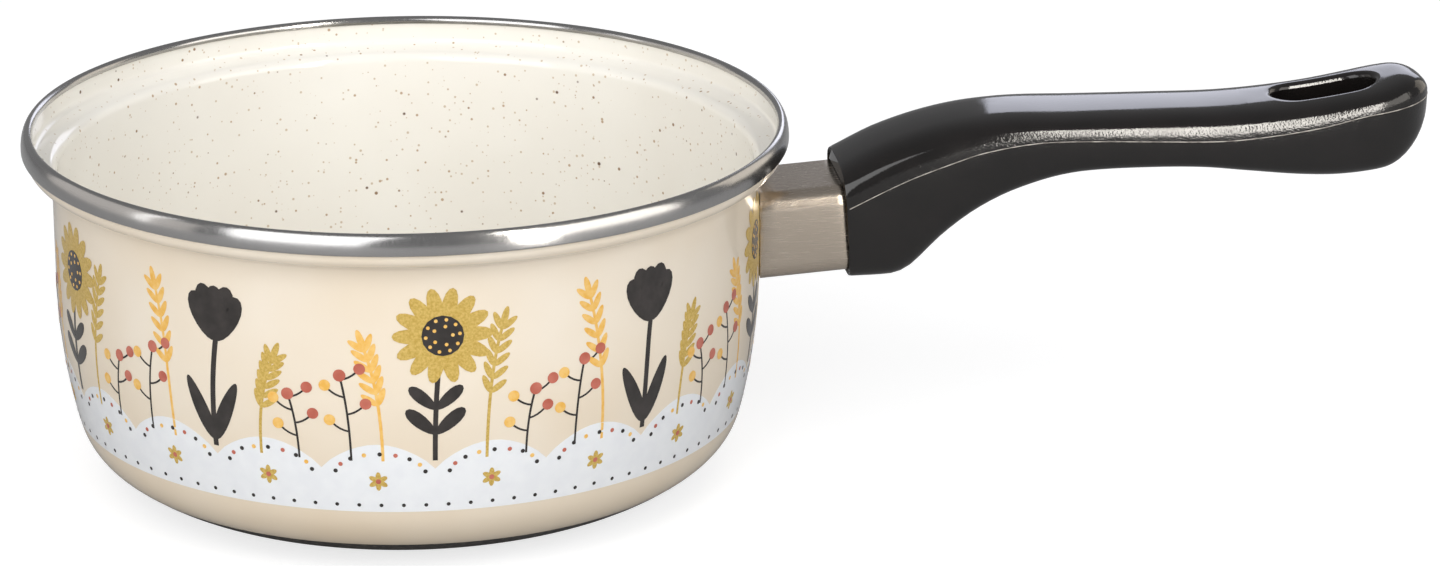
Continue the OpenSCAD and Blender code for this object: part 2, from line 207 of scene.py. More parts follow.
def lifted_for(owner, eye_share, gloss_share):
    """A share for rays from the eye, and another for rays that come off or through a shiny piece."""
    rays = add(owner, "LightPath")
    shiny = add(owner, "Math", {"operation": "MAXIMUM"}, {
        0: rays.outputs["Is Glossy Ray"], 1: rays.outputs["Is Transmission Ray"]})
    for_shiny = add(owner, "Math", {"operation": "MULTIPLY"}, {0: shiny.outputs["Value"], 1: gloss_share})
    both_shares = add(owner, "Math", {"operation": "MULTIPLY_ADD"}, {
        0: rays.outputs["Is Camera Ray"], 1: eye_share, 2: for_shiny.outputs["Value"]})
    return both_shares.outputs["Value"]


print("white seen by shiny pieces:", PAPER_LIFT_IN_GLOSS, "of paper and", WORLD_LIFT_IN_GLOSS, "of world")

# %% Floor
FLOOR_HALF = 3000
PAPER_COLOUR = "BABABA"
paper = bpy.data.materials.new("matte_white_paper")
paper.use_nodes = True
paper.node_tree.nodes.clear()
sheet = add(paper, "BsdfDiffuse", inputs={"Color": linear(PAPER_COLOUR)})
glow = add(paper, "Emission", inputs={"Strength": lifted_for(paper, PAPER_LIFT, PAPER_LIFT_IN_GLOSS)})
both = add(paper, "AddShader", inputs={0: sheet.outputs["BSDF"], 1: glow.outputs["Emission"]})
add(paper, "OutputMaterial", inputs={"Surface": both.outputs["Shader"]})
bm = bmesh.new()
bmesh.ops.create_grid(bm, x_segments=2, y_segments=2, size=FLOOR_HALF * MM)
floor_mesh = bpy.data.meshes.new("floor")
bm.to_mesh(floor_mesh)
bm.free()
floor_mesh.materials.append(paper)
floor = bpy.data.objects.new("floor", floor_mesh)
bpy.context.scene.collection.objects.link(floor)
print("floor", 2 * FLOOR_HALF * MM, "m wide")

# %% Lamps
def soft_box(name, place, look_at, size, watts, colour):
    """A rectangular area lamp that looks at a point, and that the camera doesn't see."""
    data = bpy.data.lights.new(name, "AREA")
    data.shape = "RECTANGLE"
    data.size, data.size_y = size
    data.energy = watts
    data.color = linear(colour)[:3]
    lamp = bpy.data.objects.new(name, data)
    lamp.location = place
    lamp.rotation_euler = (Vector(look_at) - Vector(place)).to_track_quat("-Z", "Y").to_euler()
    lamp.visible_camera = False
    bpy.context.scene.collection.objects.link(lamp)
    return lamp


# A lamp's name, its place and the point it looks at, its width and height in metres, its watts and its colour
SOFT_BOXES = (
    ("front_left_box", (-0.787, -1.099, 0.76), (0, 0, 0.05), (1.14, 1.45), 13.5, "FFFFFF"),
    ("left_strip", (-0.99, -0.12, 0.45), (0, 0, 0.45), (0.09, 0.85), 0.4, "FFFFFF"),
    ("back_box", (0.86, 1.9, 0.65), (0.17, 0, 0.07), (0.92, 0.6), 3.4, "EEF0FF"))
FILLS = (
    ("overhead_fill", (-0.1, -0.6, 1.5), (0, 0, 0), (1.6, 1.2), 5, "FFFFFF"),
    ("front_fill", (-0.05, -1.4, 0.4), (0, 0, 0.05), (1.2, 0.6), 3.4, "FFFFFF"),
    ("right_fill", (0.85, -0.8, 0.7), (0, 0, 0.05), (0.9, 0.7), 6.5, "FFFFFF"))
CARDS = (
    ("right_strip_card", (0.335, -0.555, 0.38), (0.21, 0, 0.38), (0.1, 0.74), 5, "FFFAF2"),
    ("right_front_card", (0.515, -0.35, 0.33), (0, 0, 0.33), (0.48, 0.5), 1.8, "FFFAF2"),
    ("left_card", (-0.99, 0.12, 0.3), (0, 0, 0.3), (1.2, 0.7), 1.6, "FFF8F0"),
    ("right_back_card", (0.82, 0.37, 0.3), (0, 0, 0.3), (0.45, 0.6), 0.8, "FFF3E0"))

for box in SOFT_BOXES:
    soft_box(*box)
for fill in FILLS:
    soft_box(*fill).visible_glossy = False
for card in CARDS:
    soft_box(*card).visible_diffuse = False

# %% World
ROOM_COLOUR, ROOM_STRENGTH = "E4E4E6", 0.31
world = bpy.data.worlds.new("studio")
bpy.context.scene.world = world
world.use_nodes = True
world.node_tree.nodes.clear()
room = add(world, "Background", inputs={"Color": linear(ROOM_COLOUR), "Strength": ROOM_STRENGTH})
white = add(world, "Background", inputs={"Color": (1, 1, 1, 1)})
white_share = lifted_for(world, WORLD_LIFT, WORLD_LIFT_IN_GLOSS)
choose = add(world, "MixShader", inputs={
    0: white_share, 1: room.outputs["Background"], 2: white.outputs["Background"]})
add(world, "OutputWorld", inputs={"Surface": choose.outputs["Shader"]})
bpy.context.scene.view_settings.view_transform = "Standard"
print("world lit at", ROOM_STRENGTH, "view transform", bpy.context.scene.view_settings.view_transform)

# %% [markdown]
# The vessel is a deep-drawn steel cup. Its outline is a flat floor, a shallow curve, a tighter corner, and a
# long curve that brings the wall upright, then a turn outwards that makes the ledge for a lid, and a short
# lip. Each coat could be a copy of the steel that is scaled up a little, but a scaled coat isn't even. So the
# outline is written once, as arcs, and each coat follows it at its own distance.

# %% The vessel's outline
WALL_R = 80.55
RIM_H = 83.9
RIM_R = 87.5
STEEL_T = 0.8
COAT_T = 0.25
BASE_ARC_R, BASE_ARC_DEG = 35.25, 38.6
CORNER_ARC_R = 14.75
WALL_LEAN_DEG = 14
SIDE_ARC_R = 136.75
FLARE_DEG = 75
FLARE_LOW_R, FLARE_HIGH_R = 1.6, 2.6
LIP_H = 4.5
BAND_T, BAND_GAP, CROWN_GAP = 0.4, 0.05, 0.45
SHOULDER_W = 1.6
BASE_ARC_STEPS, CORNER_ARC_STEPS, SIDE_ARC_STEPS, FLARE_ARC_STEPS = 12, 14, 22, 12
FLOOR_RINGS = 6
TURN_SEGMENTS = 224

wall_turn_deg = 90 - WALL_LEAN_DEG
lip_w = STEEL_T + 2 * COAT_T
crown_r = lip_w / 2 + BAND_GAP + BAND_T
crown_top_r = RIM_R - SHOULDER_W
lip_r = crown_top_r + STEEL_T / 2
lip_low_z = RIM_H - BAND_T - CROWN_GAP - LIP_H
coat_top_z = RIM_H - crown_r
print("lip radius", round(lip_r, 2), "enamel ends at height", round(coat_top_z, 2))

# %% Arcs that meet smoothly
def sin(deg):
    return math.sin(math.radians(deg))


def cos(deg):
    return math.cos(math.radians(deg))


base_flat_r = (WALL_R - BASE_ARC_R * sin(BASE_ARC_DEG)
               - CORNER_ARC_R * (sin(wall_turn_deg) - sin(BASE_ARC_DEG))
               - SIDE_ARC_R * (1 - sin(wall_turn_deg)))
base_c = Vector((base_flat_r, COAT_T + BASE_ARC_R))
corner_c = base_c + (BASE_ARC_R - CORNER_ARC_R) * Vector((sin(BASE_ARC_DEG), -cos(BASE_ARC_DEG)))
side_c = corner_c + (CORNER_ARC_R - SIDE_ARC_R) * Vector((sin(wall_turn_deg), -cos(wall_turn_deg)))
flare_slant = (lip_r - WALL_R - (FLARE_LOW_R + FLARE_HIGH_R) * (1 - cos(FLARE_DEG))) / sin(FLARE_DEG)
flare_rise = (FLARE_LOW_R + FLARE_HIGH_R) * sin(FLARE_DEG) + flare_slant * cos(FLARE_DEG)
flare_low_c = Vector((WALL_R + FLARE_LOW_R, lip_low_z - flare_rise))
flare_high_c = Vector((lip_r - FLARE_HIGH_R, lip_low_z))
print("flat floor radius", round(base_flat_r, 2), "wall upright at", round(side_c.y, 2))

# %% Lines and spins
def arc(centre, radius, start_deg, end_deg, steps):
    """Points (r, z) on an arc, by the heading of its outline in degrees above level."""
    turns = [start_deg + (end_deg - start_deg) * i / steps for i in range(steps + 1)]
    return [centre + radius * Vector((sin(a), -cos(a))) for a in turns]


def wall_line(out, start_deg=0):
    """The steel's outside outline moved outwards by out, from the base curve up to the lip."""
    return (arc(base_c, BASE_ARC_R + out, start_deg, BASE_ARC_DEG, BASE_ARC_STEPS)
            + arc(corner_c, CORNER_ARC_R + out, BASE_ARC_DEG, wall_turn_deg, CORNER_ARC_STEPS)
            + arc(side_c, SIDE_ARC_R + out, wall_turn_deg, 90, SIDE_ARC_STEPS)
            + arc(flare_low_c, out - FLARE_LOW_R, 90, 90 - FLARE_DEG, FLARE_ARC_STEPS)
            + arc(flare_high_c, FLARE_HIGH_R + out, 90 - FLARE_DEG, 90, FLARE_ARC_STEPS)
            + [Vector((lip_r + out, coat_top_z))])


def floor_line(z):
    """Points from the axis out to the edge of the flat floor."""
    return [Vector((base_flat_r * i / FLOOR_RINGS, z)) for i in range(FLOOR_RINGS)]


def spin_outline(outline, closed=False):
    """Spins (r, z) points once round the vessel's axis."""
    bm = bmesh.new()
    verts = [bm.verts.new((point[0], 0, point[1])) for point in outline]
    next_verts = verts[1:] + (verts[:1] if closed else [])
    edges = [bm.edges.new(pair) for pair in zip(verts, next_verts)]
    bmesh.ops.spin(bm, geom=verts + edges, cent=(0, 0, 0), axis=(0, 0, 1), dvec=(0, 0, 0),
                   angle=2 * math.pi, steps=TURN_SEGMENTS, use_merge=True, use_duplicate=False)
    weld(bm)
    return bm


print("points on the steel's outside outline:", len(wall_line(0)))

# %% [markdown]
# Vitreous enamel is powdered glass that is sprayed on the steel and fired at about 820 degrees. It flows into
# a hard, bright skin with a very slight waviness, so it is a dielectric with a low roughness and a long, weak
# bump. The outside is one cream colour, with painted shade that makes it darker towards the base. The inside
# is ivory with brown specks of coarser frit in it. The specks could be painted on a picture, but dots in some
# cells of a cell pattern stay sharp at any distance.

# %% Enamel materials
ENAMEL_IOR = 1.52
RIPPLE_MM, RIPPLE_DEPTH = 14, 0.02
# Heights in mm: below the first the painted shade on the outside is darkest, above the second it is gone
PAINTED_SHADE_BELOW_Z, PAINTED_SHADE_ENDS_Z = 2, 60
SPECK_EDGE_SHARE = 0.35

# Specks: their spacing and largest size in millimetres, their colour, and the share of cells that have one
SPECKS = ((1.3, 0.4, "D3C3AC", 0.5), (1.9, 0.45, "C0A88C", 0.45),
          (2.9, 0.5, "9A7E62", 0.35), (4.6, 0.6, "6E5442", 0.45))


def enamel_waves(material, shader, strength=0.12):
    """The slight waviness of fired enamel, as a bump."""
    place = add(material, "TexCoord").outputs["Object"]
    waves = add(material, "TexNoise", inputs={"Vector": place, "Scale": 1 / (RIPPLE_MM * MM), "Detail": 1.0})
    bump = add(material, "Bump", inputs={
        "Height": waves.outputs["Fac"], "Strength": strength, "Distance": RIPPLE_DEPTH * MM})
    join(material, bump.outputs["Normal"], shader.inputs["Normal"])


def fired_cream_enamel():
    """Cream enamel for the outside, with painted shade that makes it darker towards the base."""
    material, shader = start_material("fired_cream_enamel", Roughness=0.07, IOR=ENAMEL_IOR)
    place = add(material, "TexCoord").outputs["Object"]
    height = add(material, "SeparateXYZ", inputs={"Vector": place}).outputs["Z"]
    # Painted shade: the cream is drawn darker low on the wall, where less light falls, from 60 mm down to the
    # base
    up = add(material, "MapRange", inputs={
        "Value": height, "From Min": PAINTED_SHADE_BELOW_Z * MM, "From Max": PAINTED_SHADE_ENDS_Z * MM})
    depth = add(material, "ValToRGB", inputs={"Fac": up.outputs["Result"]},
                stops=[(0, "DCCDB6"), (0.3, "E9DCC8"), (1, "F3E8D7")])
    tint, _ = mottle(material, grain_mm=30, stops=[(0.3, "FAF6F0"), (0.7, "FFFFFF")])
    mixed = add(material, "Mix", {"data_type": "RGBA", "blend_type": "MULTIPLY"}, {
        "Factor": 1.0, "A": depth.outputs["Color"], "B": tint})
    join(material, mixed.outputs["Result"], shader.inputs["Base Color"])
    enamel_waves(material, shader)
    return material


def speck_layer(material, under, spacing_mm, largest_mm, colour, share):
    """Specks of coarse frit: a dot of its own size in some cells of a cell pattern."""
    place = add(material, "TexCoord").outputs["Object"]
    cells = add(material, "TexVoronoi", inputs={"Vector": place, "Scale": 1 / (spacing_mm * MM)})
    chance = add(material, "SeparateColor", inputs={"Color": cells.outputs["Color"]})
    largest = largest_mm / spacing_mm
    size = add(material, "MapRange", inputs={
        "Value": chance.outputs["Red"], "From Min": 1 - share, "To Min": 0.0, "To Max": largest})
    inside = add(material, "Math", {"operation": "SUBTRACT"}, {
        0: size.outputs["Result"], 1: cells.outputs["Distance"]})
    soft = add(material, "MapRange", inputs={
        "Value": inside.outputs["Value"], "From Min": 0.0, "From Max": SPECK_EDGE_SHARE * largest})
    mixed = add(material, "Mix", {"data_type": "RGBA"}, {
        "Factor": soft.outputs["Result"], "A": under, "B": linear(colour)})
    return mixed.outputs["Result"]


def speckled_ivory_enamel():
    """Ivory enamel for the inside, with fine pale specks and a few larger dark ones."""
    material, shader = start_material("speckled_ivory_enamel", Roughness=0.09, IOR=ENAMEL_IOR)
    colour, _ = mottle(material, grain_mm=25, stops=[(0.3, "F3EFE6"), (0.7, "F7F4EC")])
    for speck in SPECKS:
        colour = speck_layer(material, colour, *speck)
    join(material, colour, shader.inputs["Base Color"])
    enamel_waves(material, shader)
    return material


def fired_ground_coat():
    """The dark ground coat under the pan: thin and nearly matte, with a fine dusting of grey."""
    material, shader = start_material(
        "fired_ground_coat", Roughness=0.62, IOR=ENAMEL_IOR, Specular_IOR_Level=0.25)
    colour, _ = mottle(material, grain_mm=1.2, stops=[(0.45, "2A2725"), (0.68, "4A4642")], detail=3.0)
    join(material, colour, shader.inputs["Base Color"])
    enamel_waves(material, shader, strength=0.3)
    return material


cream = fired_cream_enamel()
ivory = speckled_ivory_enamel()
ground = fired_ground_coat()
print("enamel materials:", cream.name, ivory.name, ground.name)

# %% [markdown]
# Each coat is a closed skin a quarter of a millimetre thick. A Solidify modifier could give a sheet that
# thickness, but a spin of a closed outline makes both sides and the edge in one step, and the points that
# meet on the axis are welded. The outside coat has a window where the bracket's foot sits on bare steel. Its
# four edges are cut with planes, the faces between them are deleted, and the two open edges are bridged.

# %% Enamel coats
BASE_COAT_DEG = 36.5
TILT_DEG = 4
LUG_Z = 55.4
FOOT_W, FOOT_H, WINDOW_GAP = 24.4, 15, 0.1
CUT_SNAP = 1e-5
lug_x = WALL_R + COAT_T
handle_turn = Matrix.Translation((lug_x, 0, LUG_Z)) @ Matrix.Rotation(-math.radians(TILT_DEG), 4, "Y")
to_handle = handle_turn.inverted()
level_with_lug = Matrix.Translation((0, 0, -LUG_Z))

inside = floor_line(COAT_T + STEEL_T + COAT_T) + wall_line(-STEEL_T - COAT_T)
inside_back = floor_line(COAT_T + STEEL_T) + wall_line(-STEEL_T)
bm = spin_outline(inside + inside_back[::-1])
finish_piece(bm, "inner_enamel_coat", ivory, "inner_enamel", "inner_enamel")

under = floor_line(0) + arc(base_c, BASE_ARC_R + COAT_T, 0, BASE_COAT_DEG, BASE_ARC_STEPS)
under_back = floor_line(COAT_T) + arc(base_c, BASE_ARC_R, 0, BASE_COAT_DEG, BASE_ARC_STEPS)
bm = spin_outline(under + under_back[::-1])
finish_piece(bm, "base_enamel_coat", ground, "base_enamel", "base_enamel")


def faces_by_handle(bm, to_frame, half_w, half_h):
    """Faces on the handle's side whose middles lie near its axis, as measured in a frame of their own."""
    found = []
    for face in bm.faces:
        middle = face.calc_center_median()
        in_frame = to_frame @ middle
        if middle.x > 0 and abs(in_frame.y) < half_w and abs(in_frame.z) < half_h:
            found.append(face)
    return found


bm = spin_outline(wall_line(COAT_T, BASE_COAT_DEG) + wall_line(0, BASE_COAT_DEG)[::-1], closed=True)
window_half_w, window_half_h = FOOT_W / 2 + WINDOW_GAP, FOOT_H / 2 + WINDOW_GAP
for direction, half in ((Vector((0, 1, 0)), window_half_w), (Vector((0, 0, 1)), window_half_h)):
    for side in (1, -1):
        nearby = faces_by_handle(bm, level_with_lug, FOOT_W, FOOT_H)
        edges_nearby = list({edge for face in nearby for edge in face.edges})
        verts_nearby = list({vert for face in nearby for vert in face.verts})
        bmesh.ops.bisect_plane(bm, geom=nearby + edges_nearby + verts_nearby, dist=CUT_SNAP,
                               plane_co=handle_turn @ (side * half * direction),
                               plane_no=handle_turn.to_3x3() @ direction)
window = faces_by_handle(bm, to_handle, window_half_w, window_half_h)
bmesh.ops.delete(bm, geom=window, context="FACES")
bmesh.ops.bridge_loops(bm, edges=[edge for edge in bm.edges if edge.is_boundary])
finish_piece(bm, "outer_enamel_coat", cream, "outer_enamel", "outer_enamel")

# %% [markdown]
# The metals. The rim band is a strip of stainless steel that is rolled over the edge and polished while the
# pan turns. The polishing lines run round the pan, so they draw a mirrored lamp out across themselves, into
# an upright bar, and the rolls leave fine upright marks. The sleeve is satin polished along its length. The
# colour of a metal is the colour of its reflection, and the finish is all in the roughness and in a fine
# bump. Real lines are finer than a pixel here, so they are drawn as coarse as they need to show. The hidden
# pieces are bare or zinc-plated steel, which is cloudy, because its crystals catch the light unevenly.

# %% Metal materials
LINE_DEPTH = 0.01
LINES_LOW, LINES_HIGH = 0.3, 0.7
CLOUD_LOW, CLOUD_HIGH = 0.35, 0.65


def polishing_lines(material, shader, stretch, spacing_mm, strength, smoothest, roughest):
    """A noise that is drawn out along one way of the piece, as a fine bump and a change in roughness."""
    place = add(material, "TexCoord").outputs["Object"]
    drawn = add(material, "Mapping", inputs={"Vector": place, "Scale": stretch})
    lines = add(material, "TexNoise", inputs={
        "Vector": drawn.outputs["Vector"], "Scale": 1 / (spacing_mm * MM), "Detail": 3.0})
    bump = add(material, "Bump", inputs={
        "Height": lines.outputs["Fac"], "Strength": strength, "Distance": LINE_DEPTH * MM})
    haze = add(material, "MapRange", inputs={
        "Value": lines.outputs["Fac"], "From Min": LINES_LOW, "From Max": LINES_HIGH,
        "To Min": smoothest, "To Max": roughest})
    join(material, bump.outputs["Normal"], shader.inputs["Normal"])
    join(material, haze.outputs["Result"], shader.inputs["Roughness"])
    return lines.outputs["Fac"]


def rolled_stainless_strip():
    """Polished stainless strip: bright, with a breath of haze and upright roll marks."""
    material, shader = start_material(
        "rolled_stainless_strip", Metallic=1.0, Anisotropic=0.7, Anisotropic_Rotation=0.25)
    round_pan = add(material, "Tangent", {"direction_type": "RADIAL", "axis": "Z"})
    join(material, round_pan.outputs["Tangent"], shader.inputs["Tangent"])
    polishing_lines(material, shader, stretch=(1, 1, 0.08), spacing_mm=0.5, strength=0.12,
                    smoothest=0.17, roughest=0.24)
    shader.inputs["Base Color"].default_value = linear("B2B1B0")
    return material


def satin_stainless_sheet():
    """Satin stainless sheet: warm grey, its fine lines along the sleeve."""
    material, shader = start_material("satin_stainless_sheet", Metallic=1.0)
    lines = polishing_lines(material, shader, stretch=(0.03, 1, 1), spacing_mm=0.14, strength=0.25,
                            smoothest=0.22, roughest=0.28)
    colour = add(material, "ValToRGB", inputs={"Fac": lines},
                 stops=[(LINES_LOW, "BEB2A4"), (LINES_HIGH, "C6BBAD")])
    join(material, colour.outputs["Color"], shader.inputs["Base Color"])
    return material


def plated_steel(name, hex_dark, hex_light, smoothest, roughest, grain_mm):
    """Zinc-plated or bare steel, with clouds of a little more and less shine."""
    material, shader = start_material(name, Metallic=1.0)
    colour, cloud = mottle(material, grain_mm, [(CLOUD_LOW, hex_dark), (CLOUD_HIGH, hex_light)], detail=4.0)
    haze = add(material, "MapRange", inputs={
        "Value": cloud, "From Min": CLOUD_LOW, "From Max": CLOUD_HIGH,
        "To Min": smoothest, "To Max": roughest})
    join(material, colour, shader.inputs["Base Color"])
    join(material, haze.outputs["Result"], shader.inputs["Roughness"])
    return material


strip_steel = rolled_stainless_strip()
satin_steel = satin_stainless_sheet()
cad_finishes = {
    "vessel_shell": plated_steel("deep_drawn_steel", "6F6F72", "828286", 0.35, 0.5, 3.0),
    "handle_bracket": plated_steel("zinc_plated_pressed_steel", "8C8E92", "A9ABB0", 0.28, 0.42, 1.5),
    "bracket_welds": plated_steel("ground_weld_steel", "5E5C5A", "8A8784", 0.35, 0.6, 0.6),
    "handle_screw": plated_steel("bright_zinc_cold_headed_steel", "A8AAAE", "C4C6CA", 0.16, 0.3, 1.0),
    "spring_washer": plated_steel("zinc_plated_spring_steel", "8A8C90", "A4A6AA", 0.25, 0.4, 0.8),
    "square_nut": plated_steel("zinc_plated_square_nut_steel", "94969A", "B0B2B6", 0.22, 0.38, 1.0),
}
for node, material in cad_finishes.items():
    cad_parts[node].data.materials.clear()
    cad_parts[node].data.materials.append(material)
print("metal materials:", strip_steel.name, satin_steel.name, [m.name for m in cad_finishes.values()])

# %% [markdown]
# The rim band wraps the enamelled edge. Its section is a bead: a tight crown, a long rounded shoulder that
# stands away from the wall, and a foot that turns in below. The rounded shoulder matters to the eye, because
# it shows lamps at many heights as upright bars. A thin torus would do for a wire edge, but this band is a
# sheet with two skins. So each skin is three ovals, and a spin of the whole section makes the ring.

# %% Rim band
BAND_H, BAND_INNER_H = 4.8, 1.6
SHOULDER_H = 3.9
FOOT_TURN_R = 0.5
OVAL_STEPS = 16
BAND_SHARP_DEG = 50
leg_r, leg_end_z = crown_top_r - crown_r, RIM_H - BAND_INNER_H
foot_end_r, foot_z = crown_top_r + lip_w / 2 + BAND_GAP, RIM_H - BAND_H


def oval(centre_r, centre_z, half_w, half_h, start_deg, end_deg):
    """Points (r, z) along an oval, by their angle above level."""
    turns = [start_deg + (end_deg - start_deg) * i / OVAL_STEPS for i in range(OVAL_STEPS + 1)]
    return [Vector((centre_r + half_w * cos(a), centre_z + half_h * sin(a))) for a in turns]


def band_skin(d):
    """One skin of the band, drawn in by d: over the crown, down the shoulder and in at the foot."""
    return (oval(crown_top_r, RIM_H - crown_r, crown_r - d, crown_r - d, 180, 90)
            + oval(crown_top_r, RIM_H - SHOULDER_H, SHOULDER_W - d, SHOULDER_H - d, 90, 0)[1:]
            + oval(RIM_R - FOOT_TURN_R, foot_z + FOOT_TURN_R, FOOT_TURN_R - d, FOOT_TURN_R - d, 0, -90))


inner_end, inner_end_back = Vector((leg_r, leg_end_z)), Vector((leg_r + BAND_T, leg_end_z))
foot_end, foot_end_back = Vector((foot_end_r, foot_z)), Vector((foot_end_r, foot_z + BAND_T))
section = [inner_end] + band_skin(0) + [foot_end, foot_end_back] + band_skin(BAND_T)[::-1] + [inner_end_back]
bm = spin_outline(section, closed=True)
finish_piece(bm, "rolled_rim_band", strip_steel, "rim_band_steel", "rim_band", sharp_deg=BAND_SHARP_DEG)

# %% [markdown]
# The sleeve is a short rectangular tube with round corners that hides the bracket. One end is cut to the
# round of the wall, and the other runs into the grip. A bevelled block with a Boolean cut could make it, but
# the cut would leave long thin faces on a satin sheet. So its skin is a grid: one row of points for each
# place along the sleeve, out along the outside and back along the inside, to where the rows began.

# %% Sleeve
SLEEVE_W, SLEEVE_H, SLEEVE_CORNER_R, SLEEVE_T = 26.4, 20.6, 4, 0.6
SLEEVE_SHOW, SLEEVE_SEAT = 19.4, 1.5
WALL_GAP = 0.15
SHEET_EDGE_R = 0.2
CORNER_STEPS, SLEEVE_STEPS = 10, 6
SLEEVE_SHARP_DEG = 50


def rounded_oblong(w, h, r):
    """Points (across, up) round an oblong with round corners, starting and ending at the same point."""
    across, up = w / 2 - r, h / 2 - r
    corners = ((across, up, 0), (-across, up, 90), (-across, -up, 180), (across, -up, 270))
    turns = [90 * i / CORNER_STEPS for i in range(CORNER_STEPS + 1)]
    points = [(cy + r * cos(start + turn), cz + r * sin(start + turn))
              for cy, cz, start in corners for turn in turns]
    return points + points[:1]


def wall_along(across, up):
    """How far along the handle's axis a line at (across, up) leaves the round wall."""
    x = math.sqrt((WALL_R + COAT_T + WALL_GAP) ** 2 - across ** 2)
    return (x - lug_x + up * sin(TILT_DEG)) / cos(TILT_DEG)


def sleeve_row(thinner, share, pulled=0.0):
    """Points round the sleeve, thinner by an amount, at a share of its length, pulled in from the ends."""
    row = []
    w, h, r = SLEEVE_W - 2 * thinner, SLEEVE_H - 2 * thinner, SLEEVE_CORNER_R - thinner
    for across, up in rounded_oblong(w, h, r):
        start, end = wall_along(across, up) + pulled, SLEEVE_SHOW + SLEEVE_SEAT - pulled
        row.append(handle_turn @ Vector((start + (end - start) * share, across, up)))
    return row


def sleeve_skin(thinner):
    """Rows along one skin of the sleeve, from the wall to the grip."""
    return [sleeve_row(thinner, i / SLEEVE_STEPS, SHEET_EDGE_R) for i in range(SLEEVE_STEPS + 1)]


half_round = SHEET_EDGE_R * (1 - cos(45))
sheet_edge = ((half_round, half_round), (SHEET_EDGE_R, 0),
              (SLEEVE_T - SHEET_EDGE_R, 0), (SLEEVE_T - half_round, half_round))
grip_end = [sleeve_row(thinner, 1, pulled) for thinner, pulled in sheet_edge]
wall_end = [sleeve_row(thinner, 0, pulled) for thinner, pulled in sheet_edge[::-1]]
outside_rows, inside_rows = sleeve_skin(0), sleeve_skin(SLEEVE_T)
bm = bmesh.new()
skin(bm, outside_rows + grip_end + inside_rows[::-1] + wall_end + outside_rows[:1])
weld(bm)
finish_piece(bm, "satin_sleeve", satin_steel, "sleeve_steel", "sleeve", sharp_deg=SLEEVE_SHARP_DEG)

# %% [markdown]
# Phenolic is a hard, dark resin, moulded hot. Clear phenolic has an index of refraction of about 1.6, and the
# filled kind in a grip mirrors a little less, so it is matched at 1.5. Its black is very dark, so nearly all
# that the eye sees is reflection. The top is close to polished. Near the parting line the skin has an orange
# peel with bumps of about half a millimetre, which breaks a highlight into grains. The flash there is filed,
# which leaves it matte and paler than the skin, and its pale colour is partly painted highlight. A picture of
# peel could be laid on, but a noise that grows stronger near the line needs no unwrapping. The grip carries
# that nearness as a value at each point.

# %% Phenolic materials
PHENOLIC_IOR = 1.5
FLOW_MM, HAZE_MM, NICK_MM = 9, 6, 2.5
PEEL_MM, PEEL_DEPTH = 0.5, 0.09
PEEL_DULLNESS = 0.1


def moulded_black_phenolic():
    """Moulded black phenolic: a deep black that shines on top and is grainy by the parting line."""
    material, shader = start_material("moulded_black_phenolic", IOR=PHENOLIC_IOR, Specular_IOR_Level=0.55)
    place = add(material, "TexCoord").outputs["Object"]
    near = add(material, "Attribute", {"attribute_name": "near_parting"}).outputs["Fac"]
    flow, _ = mottle(material, FLOW_MM, [(CLOUD_LOW, "131110"), (CLOUD_HIGH, "181514")], detail=3.0)
    haze = add(material, "TexNoise", inputs={"Vector": place, "Scale": 1 / (HAZE_MM * MM), "Detail": 4.0})
    rough = add(material, "MapRange", inputs={
        "Value": haze.outputs["Fac"], "From Min": CLOUD_LOW, "From Max": CLOUD_HIGH,
        "To Min": 0.06, "To Max": 0.11})
    duller = add(material, "Math", {"operation": "MULTIPLY_ADD"}, {
        0: near, 1: PEEL_DULLNESS, 2: rough.outputs["Result"]})
    grain = add(material, "TexNoise", inputs={"Vector": place, "Scale": 1 / (PEEL_MM * MM), "Detail": 1.0})
    strength = add(material, "MapRange", inputs={"Value": near, "To Min": 0.04, "To Max": 0.8})
    bump = add(material, "Bump", inputs={
        "Height": grain.outputs["Fac"], "Strength": strength.outputs["Result"], "Distance": PEEL_DEPTH * MM})
    join(material, flow, shader.inputs["Base Color"])
    join(material, duller.outputs["Value"], shader.inputs["Roughness"])
    join(material, bump.outputs["Normal"], shader.inputs["Normal"])
    return material


def filed_flash_with_painted_highlight():
    """Filed flash: matte bare resin, its pale colour partly painted highlight, darker where the file missed.
    """
    material, shader = start_material("filed_flash_with_painted_highlight", Roughness=0.6, IOR=PHENOLIC_IOR)
    # Partly painted highlight: the pale stop stands in part for light caught by the ridge, the dark one for
    # spots the file missed
    colour, _ = mottle(material, NICK_MM, [(0.35, "6E6862"), (0.6, "B3ADA4")])
    join(material, colour, shader.inputs["Base Color"])
    return material


black = moulded_black_phenolic()
flash_with_painted_highlight = filed_flash_with_painted_highlight()
print("grip finish:", black.name, flash_with_painted_highlight.name)

# %% [markdown]
# The grip is compression moulded from black phenolic resin. That gives a hard semi-gloss skin that keeps the
# polish of the mould on top and shows an orange peel at the shoulders. The two halves of the mould meet in a
# parting line, where the flash is filed to a fine line that is pale partly as painted highlight. A subdivided
# block could be pulled into this shape by eye, but here the sizes are known, so each point of the skin is
# worked out from four curves along the grip. Its top is rounder in section than its underside, so a section
# is two half ovals of different squareness that share one width.

# %% Grip outline
GRIP_LEN, GRIP_W, GRIP_H, GRIP_DROP = 139, 30, 43, 12.2
TIP_PLAN_LEN, TIP_TOP_LEN, TIP_UNDER_LEN = 15, 8, 12
TOP_POWER, UNDER_POWER, UNDER_DRAFT = 3.2, 6, 0.03
SQUARE_UP_SHARE = 0.25
THINNEST = 1e-6

